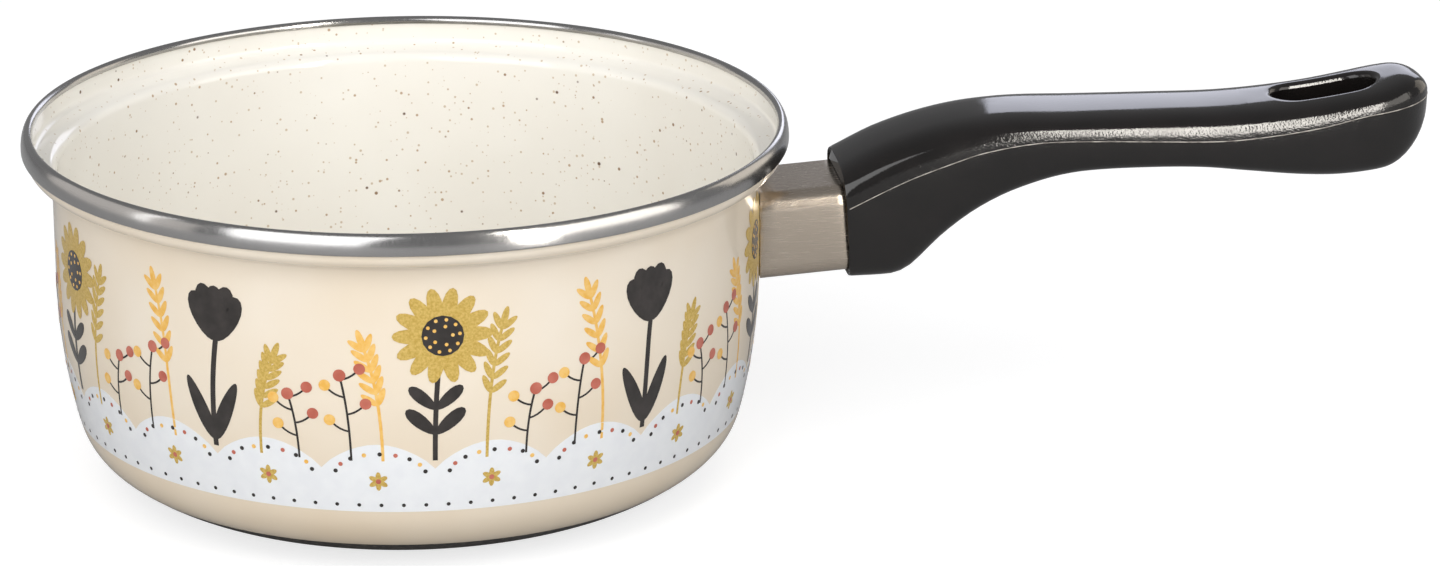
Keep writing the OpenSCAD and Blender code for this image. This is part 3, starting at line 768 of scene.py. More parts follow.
# Curves along the grip: a place as a share of its length, and there a share of its height or width
TOP_SHARES = [(0, 0.611), (0.08, 0.738), (0.18, 0.833), (0.28, 0.868), (0.4, 0.865), (0.54, 0.863),
              (0.66, 0.864), (0.78, 0.892), (0.88, 0.939), (0.96, 0.998), (1, 1.019)]
PARTING_SHARES = [(0, 0.412), (0.1, 0.561), (0.17, 0.644), (0.23, 0.704), (0.32, 0.744), (0.42, 0.741),
                  (0.52, 0.727), (0.63, 0.716), (0.71, 0.733), (0.8, 0.773), (0.88, 0.831), (1, 0.878)]
UNDER_SHARES = [(0, 0), (0.06, 0), (0.085, 0.01), (0.11, 0.054), (0.16, 0.208), (0.21, 0.332), (0.26, 0.423),
                (0.31, 0.485), (0.36, 0.529), (0.41, 0.55), (0.5, 0.556), (0.6, 0.546), (0.68, 0.515),
                (0.77, 0.481), (0.84, 0.472), (0.91, 0.495), (1, 0.563)]
WIDTH_SHARES = [(0, 1), (0.18, 0.98), (0.36, 0.945), (0.55, 0.93), (0.75, 0.935), (1, 0.935)]

grip_x = lug_x + SLEEVE_SHOW * cos(TILT_DEG)
axis_z = LUG_Z + SLEEVE_SHOW * sin(TILT_DEG)
grip_low_z = axis_z - GRIP_DROP


def curve(table, s):
    """Height of a smooth curve through a table of places and values."""
    i = max(k for k in range(len(table) - 1) if k == 0 or table[k][0] < s)

    def slope(k):
        a, b = table[max(k - 1, 0)], table[min(k + 1, len(table) - 1)]
        return (b[1] - a[1]) / (b[0] - a[0])

    (s0, v0), (s1, v1) = table[i], table[i + 1]
    gap, u = s1 - s0, (s - s0) / (s1 - s0)
    return ((1 + 2 * u) * (1 - u) ** 2 * v0 + u * (1 - u) ** 2 * gap * slope(i)
            + u * u * (3 - 2 * u) * v1 - u * u * (1 - u) * gap * slope(i + 1))


def closing(x, length):
    """How far a length that ends in a rounded tip has closed at x, from 1 down to 0."""
    past = (x - (GRIP_LEN - length)) / length
    return 1.0 if past <= 0 else math.sqrt(max(0.0, 1 - past * past))


def half_width(x):
    """Half the grip's width at x, in plan."""
    return curve(WIDTH_SHARES, x / GRIP_LEN) * GRIP_W / 2 * closing(x, TIP_PLAN_LEN)


def parting(x):
    """Height of the parting line above the grip's lowest point."""
    return curve(PARTING_SHARES, x / GRIP_LEN) * GRIP_H


def surface(x, y, side, inset=0.0):
    """The point of the grip's skin over (side 1) or under (side -1) a place in plan, in the part's frame."""
    s = x / GRIP_LEN
    seam = parting(x)
    if side > 0:
        reach = (curve(TOP_SHARES, s) * GRIP_H - seam) * closing(x, TIP_TOP_LEN) - inset
    else:
        reach = (seam - curve(UNDER_SHARES, s) * GRIP_H) * closing(x, TIP_UNDER_LEN) - inset
    power = TOP_POWER if side > 0 else UNDER_POWER
    half = max(half_width(x) - inset, THINNEST)
    share = min(abs(y) / half, 1.0)
    bulge = (1 - share ** power) ** (1 / power)
    if side < 0:
        y = y * (1 - UNDER_DRAFT * bulge)
    z = grip_low_z + seam + side * reach * bulge
    lean_in = math.tan(math.radians(TILT_DEG)) * max(0.0, 1 - s / SQUARE_UP_SHARE)
    return Vector((grip_x + x - (z - axis_z) * lean_in, y, z))


print("grip from", round(grip_x, 1), "to", round(grip_x + GRIP_LEN, 1))

# %% [markdown]
# The grip is two skins that share one row of points. The front is a tube: rows round the section, from the
# pocket that takes the sleeve, over the front edge, to just before the slot. The rest is a ring round the
# slot: rows that start at the tube's end and at the parting line on top, close in on the slot, turn over its
# rim, go down its wall, and come out again underneath. That keeps the rim of the slot smooth, which a cut
# would not. Round the tip the top and the underside stop a quarter of a millimetre or less short of each
# other, and the open edges that are counted below lie there. The flash line covers that slit, but for a strip
# about 0.1 mm wide.

# %% Rows along the grip
GRIP_EDGE_R, FRONT_EDGE_TURNS = 0.7, (0, 30, 60)
SLOT_W, SLOT_LEN, SLOT_BACK = 12, 24.4, 12.4
SPLIT_BEFORE_SLOT = 7
ARC_STEPS, TUBE_ROWS = 32, 40
SPREAD_POWER = 0.42
slot_r = SLOT_W / 2
slot_front_x = GRIP_LEN - SLOT_BACK - SLOT_LEN + slot_r
slot_back_x = GRIP_LEN - SLOT_BACK - slot_r
split_x = slot_front_x - slot_r - SPLIT_BEFORE_SLOT

# Shares of the half width for the points across a section, closer together near the parting line
across_shares = [math.copysign(abs(cos(180 * i / ARC_STEPS)) ** SPREAD_POWER, cos(180 * i / ARC_STEPS))
                 for i in range(ARC_STEPS + 1)]
across_shares[ARC_STEPS // 2] = 0.0


def tube_row(x, inset=0.0):
    """Points once round the section at x: over the top from +Y to -Y, and back underneath."""
    half = half_width(x) - inset
    over = [surface(x, half * share, 1, inset) for share in across_shares]
    back = [surface(x, half * share, -1, inset) for share in across_shares[::-1]]
    return over + back[1:]


front_rows = [tube_row(GRIP_EDGE_R * (1 - sin(turn)), GRIP_EDGE_R * (1 - cos(90 - turn)))
              for turn in FRONT_EDGE_TURNS]
tube_rows = [tube_row(GRIP_EDGE_R + (split_x - GRIP_EDGE_R) * i / TUBE_ROWS) for i in range(TUBE_ROWS + 1)]
print("rows before the slot:", len(front_rows + tube_rows), "points in each:", len(tube_rows[0]))

# %% Directions round the slot
SIDE_STEPS = 14
SEARCH_STEPS = 40


def farthest(is_inside):
    """How far one can go, up to the grip's width, and still be inside. The way is halved until it's exact."""
    low, high = 0.0, GRIP_W
    for _ in range(SEARCH_STEPS):
        middle = (low + high) / 2
        low, high = (middle, high) if is_inside(middle) else (low, middle)
    return low


def tip_point(deg):
    """The point (x, y) of the plan outline that lies in one direction from the slot's back end."""
    def inside_plan(reach):
        x = slot_back_x + reach * cos(deg)
        return x < GRIP_LEN and abs(reach * sin(deg)) < half_width(x)

    reach = farthest(inside_plan)
    return slot_back_x + reach * cos(deg), reach * sin(deg)


def beside_slot(share, deg):
    """A place on a straight side of the slot, by its share of the way, and the plan outline beside it."""
    x = split_x + (slot_back_x - split_x) * share
    return (slot_front_x + (slot_back_x - slot_front_x) * share, deg), (x, sin(deg) * half_width(x))


def slot_directions():
    """For each point round the slot: the end or side it starts from, its direction, and where it reaches."""
    for i in range(ARC_STEPS):
        yield (slot_front_x, 90 + 180 * i / ARC_STEPS), (split_x, across_shares[i] * half_width(split_x))
    for i in range(SIDE_STEPS):
        yield beside_slot(i / SIDE_STEPS, 270)
    for i in range(ARC_STEPS):
        deg = 270 + 180 * i / ARC_STEPS
        yield (slot_back_x, deg), tip_point(deg)
    for i in range(SIDE_STEPS + 1):
        yield beside_slot(1 - i / SIDE_STEPS, 90)


round_slot = list(slot_directions())
print("points round the slot:", len(round_slot))

# %% Rows round the slot
RING_ROWS = 16
SLOT_RIM_R, RIM_STEPS = 1.4, 5
SLOT_WALL_SHARES = (0.25, 0.5, 0.75)


def ring_row(closeness, side):
    """A row round the slot, from the plan outline (0) to the rim of the slot (1)."""
    row = []
    for (x, deg), (far_x, far_y) in round_slot:
        near_x, near_y = x + (slot_r + SLOT_RIM_R) * cos(deg), (slot_r + SLOT_RIM_R) * sin(deg)
        row.append(surface(far_x + (near_x - far_x) * closeness, far_y + (near_y - far_y) * closeness, side))
    return row


def rim_row(turn_deg, side):
    """A row on the rounded rim of the slot, from the skin (0) to the wall of the slot (90)."""
    out = slot_r + SLOT_RIM_R * (1 - sin(turn_deg))
    drop = SLOT_RIM_R * (1 - cos(turn_deg))
    row = []
    for ((x, deg), _), rim in zip(round_slot, ring_row(1, side)):
        row.append(Vector((grip_x + x + out * cos(deg), out * sin(deg), rim.z - side * drop)))
    return row


def slot_skin(side):
    """Rows from the plan outline to the slot's rim and over it, on top (side 1) or underneath (side -1)."""
    rings = [ring_row(1 - cos(90 * i / RING_ROWS), side) for i in range(RING_ROWS + 1)]
    rims = [rim_row(90 * i / RIM_STEPS, side) for i in range(1, RIM_STEPS + 1)]
    return rings + rims


over_slot, under_slot = slot_skin(1), slot_skin(-1)
wall_rows = [[top.lerp(low, share) for top, low in zip(over_slot[-1], under_slot[-1])]
             for share in SLOT_WALL_SHARES]
print("rows round the slot:", len(over_slot + wall_rows + under_slot))

# %% Pocket and skin of the grip
POCKET_GAP = 0.2
GRIP_WELD_GAP = 1e-3


def pocket_row(along, from_row):
    """The pocket's outline at a depth, each point in line with a point of the front edge."""
    half_w, half_h, r = SLEEVE_W / 2 + POCKET_GAP, SLEEVE_H / 2 + POCKET_GAP, SLEEVE_CORNER_R + POCKET_GAP

    def inside_pocket(across, up):
        past_w, past_h = abs(across) - (half_w - r), abs(up) - (half_h - r)
        return math.hypot(max(past_w, 0), max(past_h, 0)) + min(max(past_w, past_h), 0) - r < 0

    row = []
    for point in from_row:
        local = to_handle @ point
        way = Vector((local.y, local.z)).normalized()
        reach = farthest(lambda distance: inside_pocket(way.x * distance, way.y * distance))
        row.append(handle_turn @ Vector((along, way.x * reach, way.y * reach)))
    return row


pocket_depth = SLEEVE_SHOW + SLEEVE_SEAT + POCKET_GAP
pocket_mouth, pocket_floor = (pocket_row(along, front_rows[0]) for along in (SLEEVE_SHOW, pocket_depth))
pocket_middle = [handle_turn @ Vector((pocket_depth, 0, 0))] * len(front_rows[0])

bm = bmesh.new()
skin(bm, [pocket_middle, pocket_floor, pocket_mouth] + front_rows + tube_rows)
skin(bm, over_slot + wall_rows + under_slot[::-1])
weld(bm, GRIP_WELD_GAP)
print("open edges in the grip:", sum(1 for edge in bm.edges if not edge.is_manifold))

# %% [markdown]
# Three plain holes are left: the socket for the bracket's channel, the well for the screw's head, and the
# hole for its shank. The skin could be led round them in rows too, as round the slot. But they meet flat
# stretches of the grip and hardly show, so a cut is safe here. A Boolean modifier does each cut, and the
# result is taken as a new mesh.

# %% Grip holes
CHANNEL_W, CHANNEL_H, CHANNEL_LEN, SOCKET_GAP = 14, 10, 35.4, 0.3
SCREW_X, SCREW_D, SHANK_GAP = 27, 5, 0.25
WELL_D, WELL_FLOOR_T = 10.4, 2.3
HOLE_STEPS = 64
GRIP_SHARP_DEG = 30
well_top = -CHANNEL_H / 2 - SOCKET_GAP - WELL_FLOOR_T


def cutter(name, cut):
    """A closed shape in millimetres in the handle's frame, as an object that only cuts."""
    bmesh.ops.transform(cut, matrix=handle_turn, verts=cut.verts)
    bmesh.ops.scale(cut, vec=(MM, MM, MM), verts=cut.verts)
    mesh = bpy.data.meshes.new(name)
    cut.to_mesh(mesh)
    cut.free()
    shape = bpy.data.objects.new(name, mesh)
    bpy.context.scene.collection.objects.link(shape)
    return shape


def socket():
    """The socket that the bracket's channel goes into, with its clearance."""
    long = CHANNEL_LEN + 2 * SOCKET_GAP - SLEEVE_SHOW
    cut = bmesh.new()
    bmesh.ops.create_cube(cut, size=1)
    bmesh.ops.scale(cut, vec=(long, CHANNEL_W + 2 * SOCKET_GAP, CHANNEL_H + 2 * SOCKET_GAP), verts=cut.verts)
    bmesh.ops.translate(cut, vec=(SLEEVE_SHOW + long / 2, 0, 0), verts=cut.verts)
    return cut


def screw_hole(diameter, low, high):
    """A round hole on the screw's axis, between two heights."""
    cut = bmesh.new()
    bmesh.ops.create_cone(cut, cap_ends=True, segments=HOLE_STEPS, radius1=diameter / 2, radius2=diameter / 2,
                          depth=high - low)
    bmesh.ops.translate(cut, vec=(SCREW_X, 0, (low + high) / 2), verts=cut.verts)
    return cut


grip = finish_piece(bm, "moulded_grip", black, "grip_phenolic", "grip", sharp_deg=GRIP_SHARP_DEG)
cutters = [cutter("socket_cut", socket()),
           cutter("well_cut", screw_hole(WELL_D, -GRIP_H, well_top)),
           cutter("shank_cut", screw_hole(SCREW_D + 2 * SHANK_GAP, -GRIP_H / 2, 0))]
for shape in cutters:
    cut = grip.modifiers.new(shape.name, "BOOLEAN")
    cut.operation, cut.solver, cut.object = "DIFFERENCE", "EXACT", shape
cut_mesh = bpy.data.meshes.new_from_object(grip.evaluated_get(bpy.context.evaluated_depsgraph_get()))
grip.modifiers.clear()
grip.data = cut_mesh
for shape in cutters:
    bpy.data.objects.remove(shape)
grip.data.name = "moulded_grip"
grip.data.set_sharp_from_angle(angle=math.radians(GRIP_SHARP_DEG))
grip.data.materials.clear()
grip.data.materials.append(black)
print("grip after its holes:", len(grip.data.polygons), "faces")

# %% [markdown]
# The flash line is what is left of the thin resin that is squeezed out between the halves of the mould. A
# worker trims it with a file, which leaves a fine matte line, paler than the skin, and its pale colour is
# partly painted highlight. It could be drawn in the grip's material, but its edge stands out from the skin
# and catches the light. So it is a thin ridge that follows the parting line from one front corner, round the
# tip, to the other. It also covers more than half of the slit that the grip's skins leave round the tip.
# Orange peel is strongest near that line, so the grip carries a value at each point that says how near the
# line is, for its material.

# %% Flash line and orange peel
FLASH_W, FLASH_OUT, FLASH_SINK = 0.28, 0.08, 0.12
FLASH_SHOULDER_OUT, FLASH_SHOULDER_UP = 0.4, 0.8
FLASH_STEPS, TIP_STEPS = 90, 60
TIP_NEAR_Y = 0.5
PEEL_FADE = 5.5


def parting_path():
    """Points on the parting line, from the front of +Y, round the tip, to the front of -Y."""
    side_xs = [GRIP_EDGE_R + (slot_back_x - GRIP_EDGE_R) * i / FLASH_STEPS for i in range(FLASH_STEPS)]
    plan = [(x, half_width(x)) for x in side_xs]
    plan += [tip_point(90 - 180 * i / TIP_STEPS) for i in range(TIP_STEPS + 1)]
    plan += [(x, -half_width(x)) for x in side_xs[::-1]]
    points = []
    for x, y in plan:
        seam = surface(x, math.copysign(max(half_width(x), abs(y)), y), 1)
        points.append(Vector((seam.x, y, grip_low_z + parting(x))))
    return points


def flash_row(line, i):
    """Points round the flash's small section at point i of the line, starting and ending at the same one."""
    point = line[i]
    way = line[min(i + 1, len(line) - 1)] - line[max(i - 1, 0)]
    out = Vector((0, 0, 1)).cross(Vector((way.x, way.y, 0)).normalized())
    if out.y * point.y < 0 or (abs(point.y) < TIP_NEAR_Y and out.x < 0):
        out = -out
    up = Vector((0, 0, FLASH_W / 2))
    root, crest = point - out * FLASH_SINK, point + out * FLASH_OUT
    shoulder, shoulder_up = point + out * FLASH_OUT * FLASH_SHOULDER_OUT, up * FLASH_SHOULDER_UP
    return [root - up, shoulder - shoulder_up, crest, shoulder + shoulder_up, root + up, root - up]


line = parting_path()
rows = [flash_row(line, i) for i in range(len(line))]
front_cap, back_cap = ([sum(row[1:], Vector()) / (len(row) - 1)] * len(row) for row in (rows[0], rows[-1]))
bm = bmesh.new()
skin(bm, [front_cap] + rows + [back_cap])
weld(bm)
finish_piece(bm, "grip_flash_line", flash_with_painted_highlight, "grip_phenolic")

nearness = grip.data.attributes.new("near_parting", "FLOAT", "POINT")
for vert in grip.data.vertices:
    along = vert.co.x / MM - grip_x
    off_line = vert.co.z / MM - grip_low_z - parting(min(max(along, 0.0), GRIP_LEN))
    nearness.data[vert.index].value = max(0.0, 1 - abs(off_line) / PEEL_FADE)
print("points near the parting line:", sum(1 for item in nearness.data if item.value > 0))

# %% [markdown]
# The print is a transfer: screen-printed ceramic inks on a film that is laid on the enamel and fired again.
# So each ink has nearly the enamel's own gloss. The gold lustre is duller, with a finer grain. Plain colours
# would do from far off, but the film is never laid perfectly even, so each colour varies a little.

# %% Ink materials
def fired_ink(name, hex_low, hex_high, grain_mm=4.0, roughness=0.1):
    """A ceramic ink on the enamel, in two shades that run into each other."""
    material, shader = start_material(name, Roughness=roughness, IOR=ENAMEL_IOR)
    colour, _ = mottle(material, grain_mm, [(CLOUD_LOW, hex_low), (CLOUD_HIGH, hex_high)])
    join(material, colour, shader.inputs["Base Color"])
    return material


inks = {
    "white": fired_ink("fired_white_ink", "EBEDF0", "EFF1F3"),
    "charcoal": fired_ink("fired_charcoal_ink", "2E2A28", "3A3533"),
    "gold": fired_ink("fired_gold_lustre_ink", "BF9E48", "D6B766", grain_mm=0.5, roughness=0.25),
    "amber": fired_ink("fired_amber_ink", "EDB552", "F4C876", grain_mm=1.5),
    "terracotta": fired_ink("fired_terracotta_ink", "B9604E", "C87462"),
}
print("inks:", [ink.name for ink in inks.values()])

# %% [markdown]
# Each ink is a very thin flat layer on the wall. It could be a mask in the enamel's material, but a drawn
# edge stays sharp at any distance, and each ink can have its own finish. The pattern here is a plain meadow
# frieze over a scalloped border. Each shape is drawn flat, in millimetres along the wall and up it, then laid
# round the wall at its layer's height and given a thickness. Nearly all of it is made of two strokes: a petal
# and a stem. Petals of one ink that cross would flicker at one height, so they take twelve heights in turn,
# each a touch above the last.

# %% Drawing flat shapes
LAYER_T, INK_SHARE = 0.04, 0.8
FIRST_LAYER = 1
LONGEST_FACET, FEWEST_FACETS = 1.3, 8
STEM_FACETS, TWIG_FACETS = 14, 5
OVERPRINT, OVERPRINTS = 0.06, 12
PRINT_R = WALL_R + COAT_T
drawings = {ink: bmesh.new() for ink in inks}
petals_drawn = dict.fromkeys(inks, 0)


def petal(ink, foot, deg, length, width, layer=FIRST_LAYER, fullness=0.5):
    """A petal, leaf or dot: an oval that starts at foot and points along deg.

    Fullness moves its widest place. It is a fine grid, so that it bends with the round wall."""
    bm = drawings[ink]
    facets = max(FEWEST_FACETS, round(length / LONGEST_FACET))
    verts = bmesh.ops.create_grid(bm, x_segments=facets, y_segments=2, size=1)["verts"]
    height = layer + OVERPRINT * (petals_drawn[ink] % OVERPRINTS)
    petals_drawn[ink] += 1
    for vert in verts:
        turn = 90 * (vert.co.x + 1)
        along = (1 - cos(turn)) / 2 * length
        across = vert.co.y * width / 2 * sin(turn) * (1 - (2 * fullness - 1) * cos(turn))
        x = foot[0] + along * cos(deg) - across * sin(deg)
        y = foot[1] + along * sin(deg) + across * cos(deg)
        vert.co = (x, y, height)
    bmesh.ops.remove_doubles(bm, verts=verts, dist=WELD_GAP)


def dot(ink, middle, diameter, layer):
    """A round dot about its middle."""
    petal(ink, (middle[0] - diameter / 2, middle[1]), 0, diameter, diameter, layer)


def stem(ink, points, width, facets=STEM_FACETS):
    """A stem of even width, along a curve from the first point to the third that sets off for the second."""
    verts = bmesh.ops.create_grid(drawings[ink], x_segments=facets, y_segments=1, size=1)["verts"]
    a, b, c = (Vector(point) for point in points)
    for vert in verts:
        s = (vert.co.x + 1) / 2
        place = a * (1 - s) ** 2 + b * 2 * s * (1 - s) + c * s * s
        way = ((b - a) * (1 - s) + (c - b) * s).normalized()
        side = vert.co.y * width / 2
        vert.co = (place.x - way.y * side, place.y + way.x * side, FIRST_LAYER)


print("ink layer", LAYER_T, "mm, drawings:", list(drawings))

# %% [markdown]
# Four kinds of plant make the meadow, all of them common in country patterns: a sunflower, a tulip, an ear of
# wheat and a sprig of berries. Each could be one traced outline. Here each is a small function that draws
# itself from its foot upwards out of petals and stems, so that the frieze can set them in any order, at any
# height and leaning either way. Every stem starts upright and leans over as it rises.

# %% Stems and sunflower
STEM_BEND = 0.6
LEAF_PLACES, LEAF_LONGEST, LEAF_SHRINK, LEAF_LEAN = (0.22, 0.42), 9.5, 4, 0.4
LEAF_SPREAD_DEG, LEAF_W_SHARE, LEAF_FULLNESS = 48, 0.36, 0.6
SUNFLOWER_STEM_W, SUNFLOWER_PETALS, SUNFLOWER_R, SUNFLOWER_HEART_R = 1.1, 14, 11, 0.42
SUNFLOWER_PETAL_W, SUNFLOWER_FULLNESS = 0.3, 0.62
SEED_RINGS, SEED_TWIST_DEG, SEED_D = ((0.16, 5), (0.3, 10)), 18, 0.8


def grow(ink, foot, height, lean, width):
    """Draws a stem from its foot and returns its top."""
    top = (foot[0] + lean, foot[1] + height)
    stem(ink, (foot, (foot[0], foot[1] + height * STEM_BEND), top), width)
    return top


def sunflower(foot, height, lean):
    """Gold petals round a charcoal heart with amber seeds, on a charcoal stem with leaves."""
    x, y = grow("charcoal", foot, height, lean, SUNFLOWER_STEM_W)
    for share in LEAF_PLACES:
        joint = (foot[0] + lean * share * LEAF_LEAN, foot[1] + height * share)
        length = LEAF_LONGEST - LEAF_SHRINK * share
        for side in (-1, 1):
            petal("charcoal", joint, 90 + side * LEAF_SPREAD_DEG, length, length * LEAF_W_SHARE,
                  fullness=LEAF_FULLNESS)
    for i in range(SUNFLOWER_PETALS):
        petal("gold", (x, y), 360 * i / SUNFLOWER_PETALS, SUNFLOWER_R, SUNFLOWER_R * SUNFLOWER_PETAL_W,
              layer=2, fullness=SUNFLOWER_FULLNESS)
    dot("charcoal", (x, y), 2 * SUNFLOWER_R * SUNFLOWER_HEART_R, layer=3)
    for ring, count in SEED_RINGS:
        for i in range(count):
            deg = 360 * i / count + SEED_TWIST_DEG * ring
            seed = (x + SUNFLOWER_R * ring * cos(deg), y + SUNFLOWER_R * ring * sin(deg))
            petal("amber", seed, deg, SEED_D, SEED_D, layer=4)


print("sunflower:", SUNFLOWER_PETALS, "petals,", 2 * SUNFLOWER_R, "mm across")

# %% Tulip
TULIP_STEM_W, TULIP_R, TULIP_PETAL_W, TULIP_FULLNESS = 1.3, 13, 0.42, 0.56
TULIP_PETALS = ((30, 0.92), (-30, 0.92), (15, 1.0), (-15, 1.0), (0, 0.96))
TULIP_LEAF_UP, TULIP_LEAF_DEG, TULIP_LEAF_SHARE, TULIP_LEAF_W, TULIP_LEAF_FULLNESS = 1.5, 24, 0.62, 3.6, 0.42


def tulip(foot, height, lean):
    """A charcoal tulip of five petals with two long leaves."""
    top = grow("charcoal", foot, height, lean, TULIP_STEM_W)
    for side in (-1, 1):
        petal("charcoal", (foot[0], foot[1] + TULIP_LEAF_UP), 90 + side * TULIP_LEAF_DEG,
              height * TULIP_LEAF_SHARE, TULIP_LEAF_W, fullness=TULIP_LEAF_FULLNESS)
    for spread_deg, size in TULIP_PETALS:
        petal("charcoal", top, 90 + spread_deg, TULIP_R * size, TULIP_R * TULIP_PETAL_W,
              layer=2, fullness=TULIP_FULLNESS)


print("tulip:", len(TULIP_PETALS), "petals,", TULIP_R, "mm high")

# %% Wheat and berries
WHEAT_STEM_W, WHEAT_GRAINS, EAR_FROM, EAR_SHARE = 0.7, 6, 0.46, 0.52
GRAIN_L, GRAIN_W, GRAIN_SPREAD_DEG, GRAIN_FULLNESS = 4.4, 1.5, 38, 0.46
TIP_GRAIN_L, TIP_GRAIN_W = 4.8, 1.6
SPRIG_STEM_W, TWIG_W, TWIGS, TWIG_FROM, TWIG_SHARE = 0.5, 0.45, 4, 0.35, 0.2
TWIG_REACH, TWIG_BEND = (4.2, 2.6), (2.4, 0.4)
BERRY_D, TOP_BERRY_D = 2.6, 2.8


def wheat(ink, foot, height, lean):
    """An ear of wheat: grains in pairs up a stem, and one at the tip."""
    top = grow(ink, foot, height, lean, WHEAT_STEM_W)
    way = math.degrees(math.atan2(height * (1 - STEM_BEND), lean))
    for i in range(WHEAT_GRAINS):
        share = EAR_FROM + EAR_SHARE * i / (WHEAT_GRAINS - 1)
        rise = 2 * STEM_BEND * share + (1 - 2 * STEM_BEND) * share ** 2
        place = (foot[0] + lean * share ** 2, foot[1] + height * rise)
        for side in (-1, 1):
            petal(ink, place, way + side * GRAIN_SPREAD_DEG, GRAIN_L, GRAIN_W, fullness=GRAIN_FULLNESS)
    petal(ink, top, way, TIP_GRAIN_L, TIP_GRAIN_W, fullness=GRAIN_FULLNESS)


def berries(foot, height, lean):
    """A thin charcoal sprig that carries terracotta and amber berries."""
    top = grow("charcoal", foot, height, lean, SPRIG_STEM_W)
    for i in range(TWIGS):
        share = TWIG_FROM + TWIG_SHARE * i
        place = Vector((foot[0] + lean * share ** 2, foot[1] + height * share))
        side, ink = (1, "terracotta") if i % 2 else (-1, "amber")
        bend = place + Vector((side * TWIG_BEND[0], TWIG_BEND[1]))
        twig_end = place + Vector((side * TWIG_REACH[0], TWIG_REACH[1]))
        stem("charcoal", (place, bend, twig_end), TWIG_W, TWIG_FACETS)
        dot(ink, twig_end, BERRY_D, layer=2)
    dot("terracotta", top, TOP_BERRY_D, layer=2)


print("wheat:", 2 * WHEAT_GRAINS + 1, "grains, sprig:", TWIGS + 1, "berries")

# %% [markdown]
# The frieze has ten plots, and each holds one tall flower between two ears of wheat and two sprigs.
# Sunflowers and tulips take turns, and the wheat beside them is a little taller or shorter in every other
# plot, as in a pattern that was drawn by hand. The stems stand on a white border with a scalloped top edge.
# It could be a row of half discs, but one long grid whose top follows the scallops bends evenly.

# %% Frieze
PLOTS = 10
SCALLOPS, COLUMNS_PER_SCALLOP, BORDER_ROWS = 20, 12, 8
BORDER_LOW_Z, BORDER_TOP_Z, SCALLOP_RISE, SCALLOP_POWER = 17.3, 31.0, 6.0, 0.8
GROUND_SINK = 1
SUNFLOWER_H, SUNFLOWER_LEAN, TULIP_H, TULIP_LEAN = 29, 2.0, 25, 1.5
WHEAT_OFF, WHEAT_LEAN, AMBER_WHEAT_H, GOLD_WHEAT_H, WHEAT_SWING = 11.5, 3.5, 30, 26, 4
LEFT_SPRIG_OFF, LEFT_SPRIG_H, RIGHT_SPRIG_OFF, RIGHT_SPRIG_H, SPRIG_LEAN = 18.5, 20, 20.5, 15, 2.0
BEAD_TURNS, BEAD_RISE, BEAD_SHARE, BEAD_D, BEAD_DROP = range(10, 171, 20), 5.2, 0.4, 1.0, 4.5
BEAD_INKS = ("charcoal", "amber", "charcoal", "terracotta")
ROSETTE_PETALS, ROSETTE_DROP, ROSETTE_R, ROSETTE_PETAL_W, ROSETTE_HEART_D = 6, 6.0, 2.3, 1.2, 1.2
FOOT_DOTS, FOOT_DOT_UP, FOOT_DOT_D = 5, 1.7, 0.9
INK_WELD_GAP = 1e-3
INK_SHARP_DEG = 60
wall_round = 2 * math.pi * PRINT_R
plot_w, scallop_w = wall_round / PLOTS, wall_round / SCALLOPS
ground_z = BORDER_TOP_Z - GROUND_SINK

for i in range(PLOTS):
    middle = plot_w * (i + 0.5)
    way = 1 if i % 2 else -1
    if i % 2:
        sunflower((middle, ground_z), SUNFLOWER_H, SUNFLOWER_LEAN * way)
    else:
        tulip((middle, ground_z), TULIP_H, -TULIP_LEAN * way)
    wheat("amber", (middle - WHEAT_OFF, ground_z), AMBER_WHEAT_H - WHEAT_SWING * way, -WHEAT_LEAN)
    wheat("gold", (middle + WHEAT_OFF, ground_z), GOLD_WHEAT_H + WHEAT_SWING * way, WHEAT_LEAN)
    berries((middle - LEFT_SPRIG_OFF, ground_z), LEFT_SPRIG_H, -SPRIG_LEAN * way)
    berries((middle + RIGHT_SPRIG_OFF, ground_z), RIGHT_SPRIG_H, SPRIG_LEAN * way)

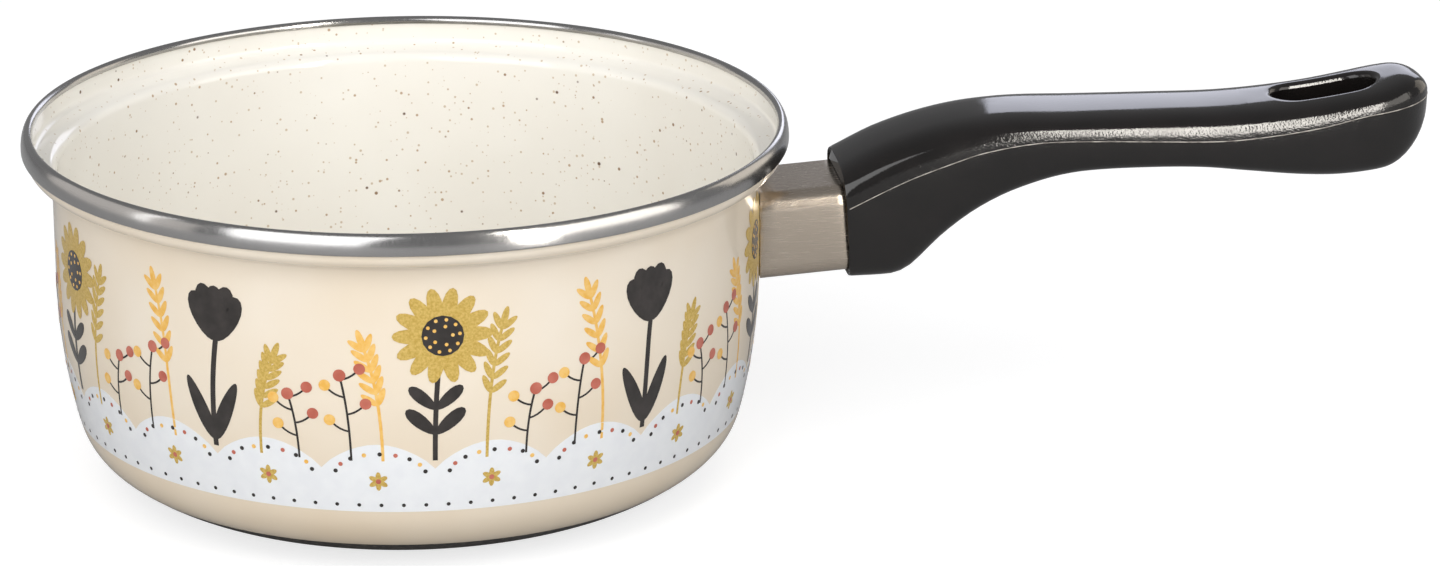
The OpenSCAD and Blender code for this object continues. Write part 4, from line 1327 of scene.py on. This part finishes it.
border_grid = bmesh.ops.create_grid(drawings["white"], x_segments=COLUMNS_PER_SCALLOP * SCALLOPS,
                                    y_segments=BORDER_ROWS, size=1)["verts"]
for vert in border_grid:
    turn, up = (vert.co.x + 1) / 2, (vert.co.y + 1) / 2
    bulge = abs(sin(180 * ((turn * SCALLOPS) % 1.0)))
    top = BORDER_TOP_Z + SCALLOP_RISE * bulge ** SCALLOP_POWER - SCALLOP_RISE / 2
    vert.co = (turn * wall_round, BORDER_LOW_Z + (top - BORDER_LOW_Z) * up, FIRST_LAYER)

for i in range(SCALLOPS):
    middle = scallop_w * (i + 0.5)
    for k, deg in enumerate(BEAD_TURNS):
        bead = (middle + scallop_w * BEAD_SHARE * cos(deg), BORDER_TOP_Z - BEAD_DROP + BEAD_RISE * sin(deg))
        petal(BEAD_INKS[k % len(BEAD_INKS)], bead, 0, BEAD_D, BEAD_D, layer=2)
    rosette = (middle, BORDER_TOP_Z - ROSETTE_DROP)
    for k in range(ROSETTE_PETALS):
        petal("gold", rosette, 360 * (k + 0.5) / ROSETTE_PETALS, ROSETTE_R, ROSETTE_PETAL_W, layer=2)
    dot("terracotta", rosette, ROSETTE_HEART_D, layer=3)
    for k in range(FOOT_DOTS):
        place = (scallop_w * (i + (k + 0.5) / FOOT_DOTS), BORDER_LOW_Z + FOOT_DOT_UP)
        petal("charcoal", place, 0, FOOT_DOT_D, FOOT_DOT_D, layer=2)
print("petals drawn:", petals_drawn)

# %% [markdown]
# The flat drawing is laid round the wall. A Shrinkwrap modifier could do that, but the wall is an arc in
# section, so its radius at each height is known, and each point goes straight to its place. Then each ink
# gets its thickness. Its volume is printed, because a sheet with its faces inwards has one below nought.

# %% The print on the wall
def wall_outside_r(z):
    """Outside radius of the enamelled wall between the corner and the ledge."""
    if z >= side_c.y:
        return WALL_R + COAT_T
    return side_c.x + math.sqrt((SIDE_ARC_R + COAT_T) ** 2 - (side_c.y - z) ** 2)


for ink, bm in drawings.items():
    for vert in bm.verts:
        turn, height = vert.co.x / PRINT_R, vert.co.y
        r = wall_outside_r(height) + vert.co.z * LAYER_T
        vert.co = (r * math.cos(turn), r * math.sin(turn), height)
    if ink == "white":
        weld(bm, INK_WELD_GAP)
    bm.normal_update()
    bmesh.ops.solidify(bm, geom=bm.faces[:], thickness=LAYER_T * INK_SHARE)
    print(ink, "ink volume in mm3:", round(bm.calc_volume(signed=True), 2))
    finish_piece(bm, f"printed_{ink}_ink", inks[ink], "outer_enamel", sharp_deg=INK_SHARP_DEG, outwards=False)
